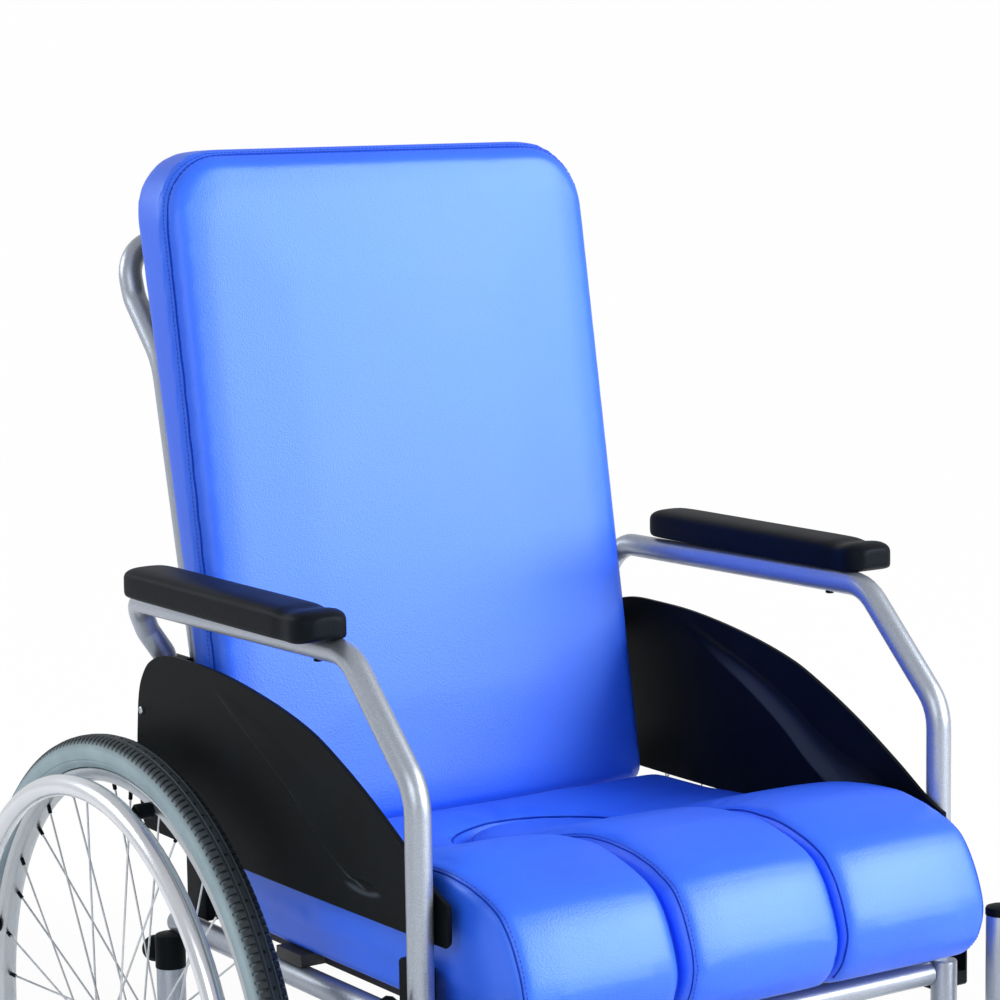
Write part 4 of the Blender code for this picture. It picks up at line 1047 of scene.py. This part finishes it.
# %% Arm pad
pad_low, pad_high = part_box("arm_pad_left")
pad_middle = (pad_low + pad_high) / 2
pad_size = pad_high - pad_low
pad = begin("arm_pad", mesh.primitive_cylinder_add, vertices=56, radius=0.5, depth=pad_size.y,
            location=pad_middle, rotation=(pi / 2, 0.0, 0.0), end_fill_type="NGON")
edit(pad)
NOSE = 0.02
stations = [0.0003, 0.0012, 0.0027, 0.0048, 0.0075, 0.0108, 0.015]
stations += [pad_size.y - reach for reach in stations]
stations += [0.019 + 0.004 * k for k in range(9)]
stations += [0.07 + 0.02 * k for k in range(12)]
for reach in stations:
    mesh.select_all(action="SELECT")
    mesh.bisect(plane_co=(0.0, pad_low.y + reach, 0.0), plane_no=(0, 1, 0))
leave_edit()


def rounded_share(turn, power):
    """A rounded square in place of a circle: across and up, each from -1 to 1."""
    across, up = cos(turn), sin(turn)
    return copysign(abs(across) ** power, across), copysign(abs(up) ** power, up)


for spot in points(pad):
    reach = spot.y - pad_low.y
    near_end = min(reach, pad_size.y - reach)
    turn = atan2(spot.z - pad_middle.z, spot.x - pad_middle.x)
    across, up = rounded_share(turn, 0.5 if turn > 0.0 else 0.24)
    draw = sqrt(max(0.0, 1 - (1 - min(near_end / NOSE, 1.0)) ** 2))
    hollow = exp(-(((reach - 0.034) / 0.011) ** 2))
    half_wide = pad_size.x / 2 - 0.015 * (1 - draw) - 0.0012 * hollow
    half_high = pad_size.z / 2 - 0.0075 * (1 - draw)
    spot.x = pad_middle.x + half_wide * across
    spot.z = pad_middle.z + half_high * up
    if up > 0.0:
        crown = 0.0014 * across * across + 0.0022 * hollow
        spot.z -= crown * up
apply_modifier(pad, "SUBSURF", levels=1, render_levels=1)
pads = both(pad, "arm_cushion", pad_skin, "arm", "pad_skin", "arm_pad", smooth=70.0)
print("arm pad", tuple(round(v * 1000) for v in pad_size), "mm")

# %% [markdown]
# ## Side panels
#
# The skirt guards are moulded plates with a long scoop pressed into them. Their outline
# is smooth, so its heights come from a curve through a few measured points. A grid is laid
# between the lower and upper outline, thickened, and its edge rounded. Every point then
# moves out by the scoop's height, which leaves a ledge outside and a hollow wedge inside.


# %% Outline of a panel
PANEL_IN, PANEL_OUT = 0.2573, 0.2613
PANEL_FRONT, PANEL_BACK = -0.49, 0.0345
panel_top = [
    (-0.49, 0.553), (-0.467, 0.563), (-0.43, 0.586), (-0.379, 0.615), (-0.325, 0.641),
    (-0.28, 0.6585), (-0.216, 0.673), (-0.135, 0.684), (-0.07, 0.6868), (-0.025, 0.6855),
    (0.006, 0.6755), (0.022, 0.659), (0.03, 0.638), (0.0345, 0.6),
]
panel_low = [(-0.49, 0.522), (-0.486, 0.5182), (0.018, 0.5182), (0.03, 0.53), (0.0345, 0.56)]
print("panel top at mid length", round(height_at(panel_top, -0.2), 4))

# %% The scoop's height over the plate
CREASE_START = Vector((-0.1002, 0.675))
CREASE_END = Vector((-0.372, 0.54))
POCKET_Y, POCKET_Z = -0.362, 0.5425
crease_way = (CREASE_END - CREASE_START).normalized()
crease_side = Vector((crease_way.y, -crease_way.x))
CREASE_LENGTH = (CREASE_END - CREASE_START).length
crease_sag = [
    (0.0, 0.0), (0.26, 0.0016), (0.44, 0.0032), (0.62, 0.0002), (0.75, -0.006), (0.88, -0.0077),
    (1.0, -0.004),
]


def scoop(y, z):
    """How far the outer and the inner face stand out at a place, and how much painted highlight each
    carries.
    """
    spot = Vector((y, z)) - CREASE_START
    along = spot.dot(crease_way) / CREASE_LENGTH
    side = spot.dot(crease_side) - height_at(crease_sag, clamp(along))
    width = 0.008 + 0.034 * clamp(along)
    fade = smooth_step(0.02, 0.4, along)
    stop = 1 - smooth_step(0.7, 1.04, along)
    outer = smooth_step(-0.001, 0.0022, side) * (1 - smooth_step(0.0, width * 1.2, side))
    inner = clamp(side / (0.4 * width)) * (1 - smooth_step(0.45 * width, width * 1.1, side))
    pocket = hypot((y - POCKET_Y) / 0.0255, (z - POCKET_Z) / 0.006)
    dish = 0.0022 * (1 - smooth_step(0.6, 1.0, pocket))
    # Painted highlights: a light line along the crease, a light crescent on the pocket's lower lip, and a
    # lit wedge on the inner face.
    line = smooth_step(0.05, 0.45, along) * smooth_step(1.0, 0.94, along) * exp(-((side / 0.0016) ** 2))
    rim = 0.8 * exp(-(((pocket - 0.9) / 0.22) ** 2)) * smooth_step(0.0005, -0.003, z - POCKET_Z)
    wedge = smooth_step(0.1, 0.45, along) * smooth_step(-0.0008, 0.0016, side)
    wedge *= 1 - 0.9 * smooth_step(0.1 * width, 0.95 * width, side)
    wedge *= 1 - smooth_step(width, width + 0.001, side)
    outer = 0.0056 * fade * stop * outer - dish
    return outer, min(0.005 * fade * inner, outer + 0.0026), max(line, rim), 0.8 * wedge


# %% Side panel
panel = begin("side_panel", mesh.primitive_grid_add, x_subdivisions=262, y_subdivisions=84, size=1.0)
for vertex in panel.data.vertices:
    run, rise = vertex.co.x + 0.5, vertex.co.y + 0.5
    y = PANEL_FRONT + (PANEL_BACK - PANEL_FRONT) * run
    low, top = height_at(panel_low, y), height_at(panel_top, y)
    vertex.co = Vector((PANEL_OUT, y, low + (top - low) * rise))
edit(panel, action="SELECT")
mesh.normals_make_consistent(inside=False)
leave_edit()
apply_modifier(panel, "SOLIDIFY", thickness=PANEL_OUT - PANEL_IN, offset=0.0)
break_edges(panel, 0.0012, segments=3)
plate_low = min(vertex.co.x for vertex in panel.data.vertices)
# Painted highlight: each point stores how much lighter colour it gets from the scoop's crest line, pocket
# lip and inner wedge.
rub = panel.data.attributes.new("rub", "FLOAT", "POINT")
for vertex in panel.data.vertices:
    spot = vertex.co
    share = (spot.x - plate_low) / (PANEL_OUT - PANEL_IN)
    outer, inner, painted_sheen_out, painted_sheen_in = scoop(spot.y, spot.z)
    rub.data[vertex.index].value = painted_sheen_out * share + painted_sheen_in * (1 - share)
    spot.x = PANEL_IN + (PANEL_OUT - PANEL_IN) * share + outer * share + inner * (1 - share)
    spot.y += DEPTH
panels = both(panel, "skirt_guard", black, "arm", "black_fittings", "side_panel", smooth=40.0)
print("panel faces", len(panels["left"].data.polygons))

# %% Fasteners of the arms
def button_head(name, spot, axis, radius, height):
    """A domed screw head with a round socket, its flat side on the spot."""
    spot, out = Vector(spot), Vector(axis).normalized()
    head = rod(name, spot, spot + out * height, radius)
    edit(head, "FACE")
    pick(head, "faces", lambda middle: (middle - spot).dot(out) > height * 0.9)
    inset((radius * 0.22, height * 0.22), (radius * 0.3, height * 0.06), (radius * 0.03, -height * 0.55))
    return head


for number, y in enumerate((-0.085, -0.318)):
    place = (ARM_X, DEPTH + y, ARM_TOP_Z - TUBE_R + 0.0004)
    under = button_head(f"pad_screw_{number}", place, (0, 0, -1), 0.0038, 0.0024)
    both(under, f"pad_screw_{number}", black, "arm", "bolts", smooth=30.0)
for name, place, radius, height in (
    ("panel_screw", (PANEL_OUT - 0.0003, DEPTH + 0.0235, 0.628), 0.0036, 0.0018),
    ("leg_rivet", (HINGE.x + TUBE_R - 0.0006, HINGE.y, 0.6935), 0.0042, 0.0016),
):
    head = button_head(name, place, (1, 0, 0), radius, height)
    both(head, name, steel, "arm", "bolts", smooth=30.0)
print("arm fasteners")

# %% [markdown]
# ## Small fittings
#
# Brackets, levers, forks, plates and pins already have their right shape in the solid
# model. Each gets a copy whose edges are broken by half a millimetre, as moulded and
# pressed parts have, and whose round faces are shaded smooth.

# %% Small fittings
paired = (
    "arm_catch", "arm_hinge", "axle", "brake_bracket", "brake_lever", "brake_shoe",
    "castor_bolt", "castor_fork", "castor_hub", "castor_tyre", "footplate", "footrest_post",
    "pan_rail", "post_clamp",
)
fittings = [f"{stem}_{side}" for stem in paired for side, _ in SIDES]
for node in fittings + ["seat_board", "back_board", "commode_pan"]:
    softened(node, 0.0 if node.startswith(("castor_tyre", "castor_hub", "commode")) else 0.0006)
print("small fittings softened")

# %% [markdown]
# ## Rear wheels
#
# A 24 inch wheel: a grey solid tyre with blocks on its shoulders, a box-section alloy rim,
# thirty-six crossed spokes in black nipples, and a polished handrim on four black spacers.
# Everything round is one profile spun about the axle, and everything that repeats is
# modelled once and copied round it.

# %% Tyre with tread blocks
tyre_profile = [
    (0.305, -0.0022), (0.305, 0.0022), (0.304, 0.003), (0.304, 0.0044), (0.3046, 0.0052),
    (0.303, 0.0098), (0.2992, 0.0134), (0.2972, 0.0143), (0.2968, 0.0147), (0.2945, 0.0156),
    (0.2915, 0.0161), (0.287, 0.016), (0.2835, 0.0153), (0.2824, 0.0143), (0.2814, 0.0146),
    (0.279, 0.0136), (0.276, 0.0104), (0.2752, 0.006),
]
tyre_profile += [(reach, -along) for reach, along in reversed(tyre_profile)]
tyre = lathe("tyre", tyre_profile, AXLE, "X", 480, closed=True)
mesh.select_all(action="SELECT")
merge()
mesh.select_mode(type="FACE")
PITCH = tau / 240


def on_slot(middle):
    """The shoulder and crown faces that become the slots between the blocks."""
    spot = middle - AXLE
    turn = atan2(spot.z, spot.y) / PITCH
    reach = hypot(spot.y, spot.z)
    if 0.2975 < reach < 0.3045 and abs(spot.x) > 0.0052:
        return turn % 1.0 < 0.5
    return reach > 0.303 and abs(spot.x) < 0.0021 and turn % 2.0 < 0.5


pick(tyre, "faces", on_slot)
inset((0.0005, 0.0), (0.0002, -0.0026))
wheels = both(tyre, "tyre_tread", rubber, "wheel", "tyre", "tyre", smooth=28.0)
print("tyre faces", len(wheels["left"].data.polygons))

# %% Rim
rim_profile = [
    (0.2748, -0.0092), (0.2752, -0.01), (0.2744, -0.011), (0.27, -0.0112),
    (0.2655, -0.0095), (0.2628, -0.0062), (0.262, -0.003), (0.2624, 0.0),
]
rim_profile += [(reach, -along) for reach, along in reversed(rim_profile[:-1])]
rim = lathe("rim", rim_profile, AXLE, "X", 144, closed=True)
both(rim, "rim_ring", alloy, "wheel", "rim", "rim", smooth=30.0)

# %% Handrim
HANDRIM_X = 0.333
HANDRIM_R = 0.263
handrim_profile = ring_profile(HANDRIM_R, HANDRIM_X - WHEEL_X, 0.01, 20)
handrim = lathe("handrim", handrim_profile, AXLE, "X", 144, closed=True)
both(handrim, "handrim_ring", bright, "wheel", "handrim", "handrim", smooth=60.0)


def round_axle(turn):
    """A turn about the left axle."""
    return Matrix.Translation(AXLE) @ Matrix.Rotation(radians(turn), 4, "X") @ Matrix.Translation(-AXLE)


# %% Handrim spacers
spacer_spot = AXLE + Vector((0.0188, 0.2665, 0.0))
spacer = begin("spacer", mesh.primitive_cylinder_add, vertices=20, radius=0.007, depth=0.015,
               location=spacer_spot, rotation=(0.0, pi / 2, 0.0))
edit(spacer, "FACE")
pick(spacer, "faces", lambda middle: abs(middle.x - spacer_spot.x) > 0.007)
inset((0.0012, 0.0012), (0.002, -0.0008))
spacers = copies(spacer, [round_axle(90 * k + 16.875) for k in range(4)], "handrim_spacers")
both(spacers, "handrim_spacers", black, "wheel", "black_fittings", smooth=30.0)

# %% Hub
flange_profile = [
    (0.0158, -0.0248), (0.0255, -0.0246), (0.027, -0.0238), (0.027, -0.0222), (0.0255, -0.0215),
    (0.016, -0.021), (0.0138, -0.0185), (0.013, -0.012),
]
hub_profile = [(0.0068, -0.0275), (0.0135, -0.0275), (0.015, -0.0262)] + flange_profile
hub_profile += [(reach, -along) for reach, along in reversed(flange_profile)]
hub_profile += [(0.015, 0.0315), (0.0138, 0.033), (0.0068, 0.033)]
hub = lathe("hub", hub_profile, AXLE, "X", 48, closed=True)
both(hub, "hub_shell", alloy, "wheel", "rim", "hub_spokes", smooth=30.0)


# %% Spokes and nipples
HOLE_R, SEAT_R = 0.0242, 0.263


def spoke_ends(k):
    """Hub end and rim end of one spoke: nine crossed pairs to each flange."""
    flange = 1 if k % 2 else -1
    lean = 1 if k % 4 < 2 else -1
    at_rim = radians(10 * k + 5)
    at_hub = at_rim + lean * radians(64)
    lift = 0.0251 if lean > 0 else 0.0209
    return (
        AXLE + Vector((x, reach * cos(turn), reach * sin(turn)))
        for x, reach, turn in ((flange * lift, HOLE_R, at_hub), (flange * 0.0028, SEAT_R, at_rim))
    )


spoke_set, nipple_set = [], []
for k in range(4):
    start, end = spoke_ends(k)
    inward = (start - end).normalized()
    spoke_set.append(rod(f"spoke_{k}", start, end, 0.001, 8))
    nipple = rod(f"nipple_{k}", end + inward * 0.0085, end - inward * 0.0005, 0.0019, 10)
    edit(nipple, "FACE")
    pick(nipple, "faces", lambda middle: (middle - end).length > 0.0083)
    inset((0.0006, 0.0007))
    nipple_set.append(nipple)
for name, group, finish, slot in (
    ("spoke_wires", spoke_set, steel, "spokes"),
    ("spoke_nipples", nipple_set, black, "black_fittings"),
):
    laced = [copies(one, [round_axle(40 * k) for k in range(9)], name) for one in group]
    both(joined(laced, name), name, finish, "wheel", slot, smooth=40.0)
print("spokes laced")

# %% [markdown]
# ## Floor, backdrop and light
#
# The photograph is a cut-out on pure white. A large pale floor runs up into a backdrop, and
# the camera sees both as white, while the shadow under the chair stays faintly there. A
# broad lamp from the upper right gives the roll its soft band, and a wide even world fills
# the rest.

# %% Floor and backdrop
FLOOR_SIZE, BACKDROP_HEIGHT = 24.0, 9.0
floor = begin("studio_floor", mesh.primitive_plane_add, size=FLOOR_SIZE, location=(0.0, 0.0, 0.0))
edit(floor, "EDGE")
pick(floor, "edges", lambda middle: middle.y > 0.49 * FLOOR_SIZE)
pull((0.0, 0.0, BACKDROP_HEIGHT))
leave_edit()
paper = Finish("studio_paper", Roughness=0.9)
fibre = paper.speckle(60.0, 3.0)
paper.wear(paper.blend(fibre, (0.93, 0.93, 0.93), (0.97, 0.97, 0.97)))
seen, mirrored, through = paper.rays()
glow = paper.node("ShaderNodeEmission", {}, {"Color": WHITE, "Strength": 1.0})
from_chair = paper.apart((0.0, 0.0, 0.0), (0.25, 0.25, 0.0))
share = (seen + through + 0.5 * mirrored).at_most(1.0) * paper.ramp(from_chair, 0.17, 0.5, (0.55, 0.985))
paper.show(share, Sum(paper, paper.shader.outputs[0]), glow)
floor.data.materials.append(paper.material)

# %% World and lamps
world = bpy.data.worlds.new("studio_world")
bpy.context.scene.world = world
world.use_nodes = True
SKY_STRENGTH, MIRROR_SHARE = 0.45, 0.12
air = Nodes(world.node_tree)
sky = air.tree.nodes["Background"]
air.feed(sky.inputs["Color"], WHITE)
air.feed(sky.inputs["Strength"], SKY_STRENGTH)
backdrop = air.node("ShaderNodeBackground", {}, {"Color": WHITE, "Strength": 1.0})
seen, mirrored, through = air.rays()
air.show(seen + through + MIRROR_SHARE * mirrored, Sum(air, sky.outputs[0]), backdrop)


def softbox(name, spot, aim, width, height, power):
    """A large rectangular lamp that faces a point."""
    lamp = bpy.data.lights.new(name, "AREA")
    lamp.shape, lamp.size, lamp.size_y, lamp.energy = "RECTANGLE", width, height, power
    made = placed(name, lamp)
    made.location = spot
    made.rotation_euler = (Vector(aim) - Vector(spot)).to_track_quat("-Z", "Y").to_euler()


softbox("key_softbox", (2.2, -2.0, 2.7), (0.0, 0.0, 0.6), 1.6, 1.2, 76.0)
softbox("front_softbox", (1.7, -2.6, 1.5), (0.0, 0.1, 0.9), 1.8, 1.35, 71.0)
softbox("fill_softbox", (-2.6, -1.8, 1.9), (0.0, 0.1, 0.6), 1.8, 1.8, 26.0)
softbox("edge_softbox", (-2.3, 2.5, 2.3), (0.0, 0.2, 0.8), 1.5, 1.5, 34.0)
print("studio set")
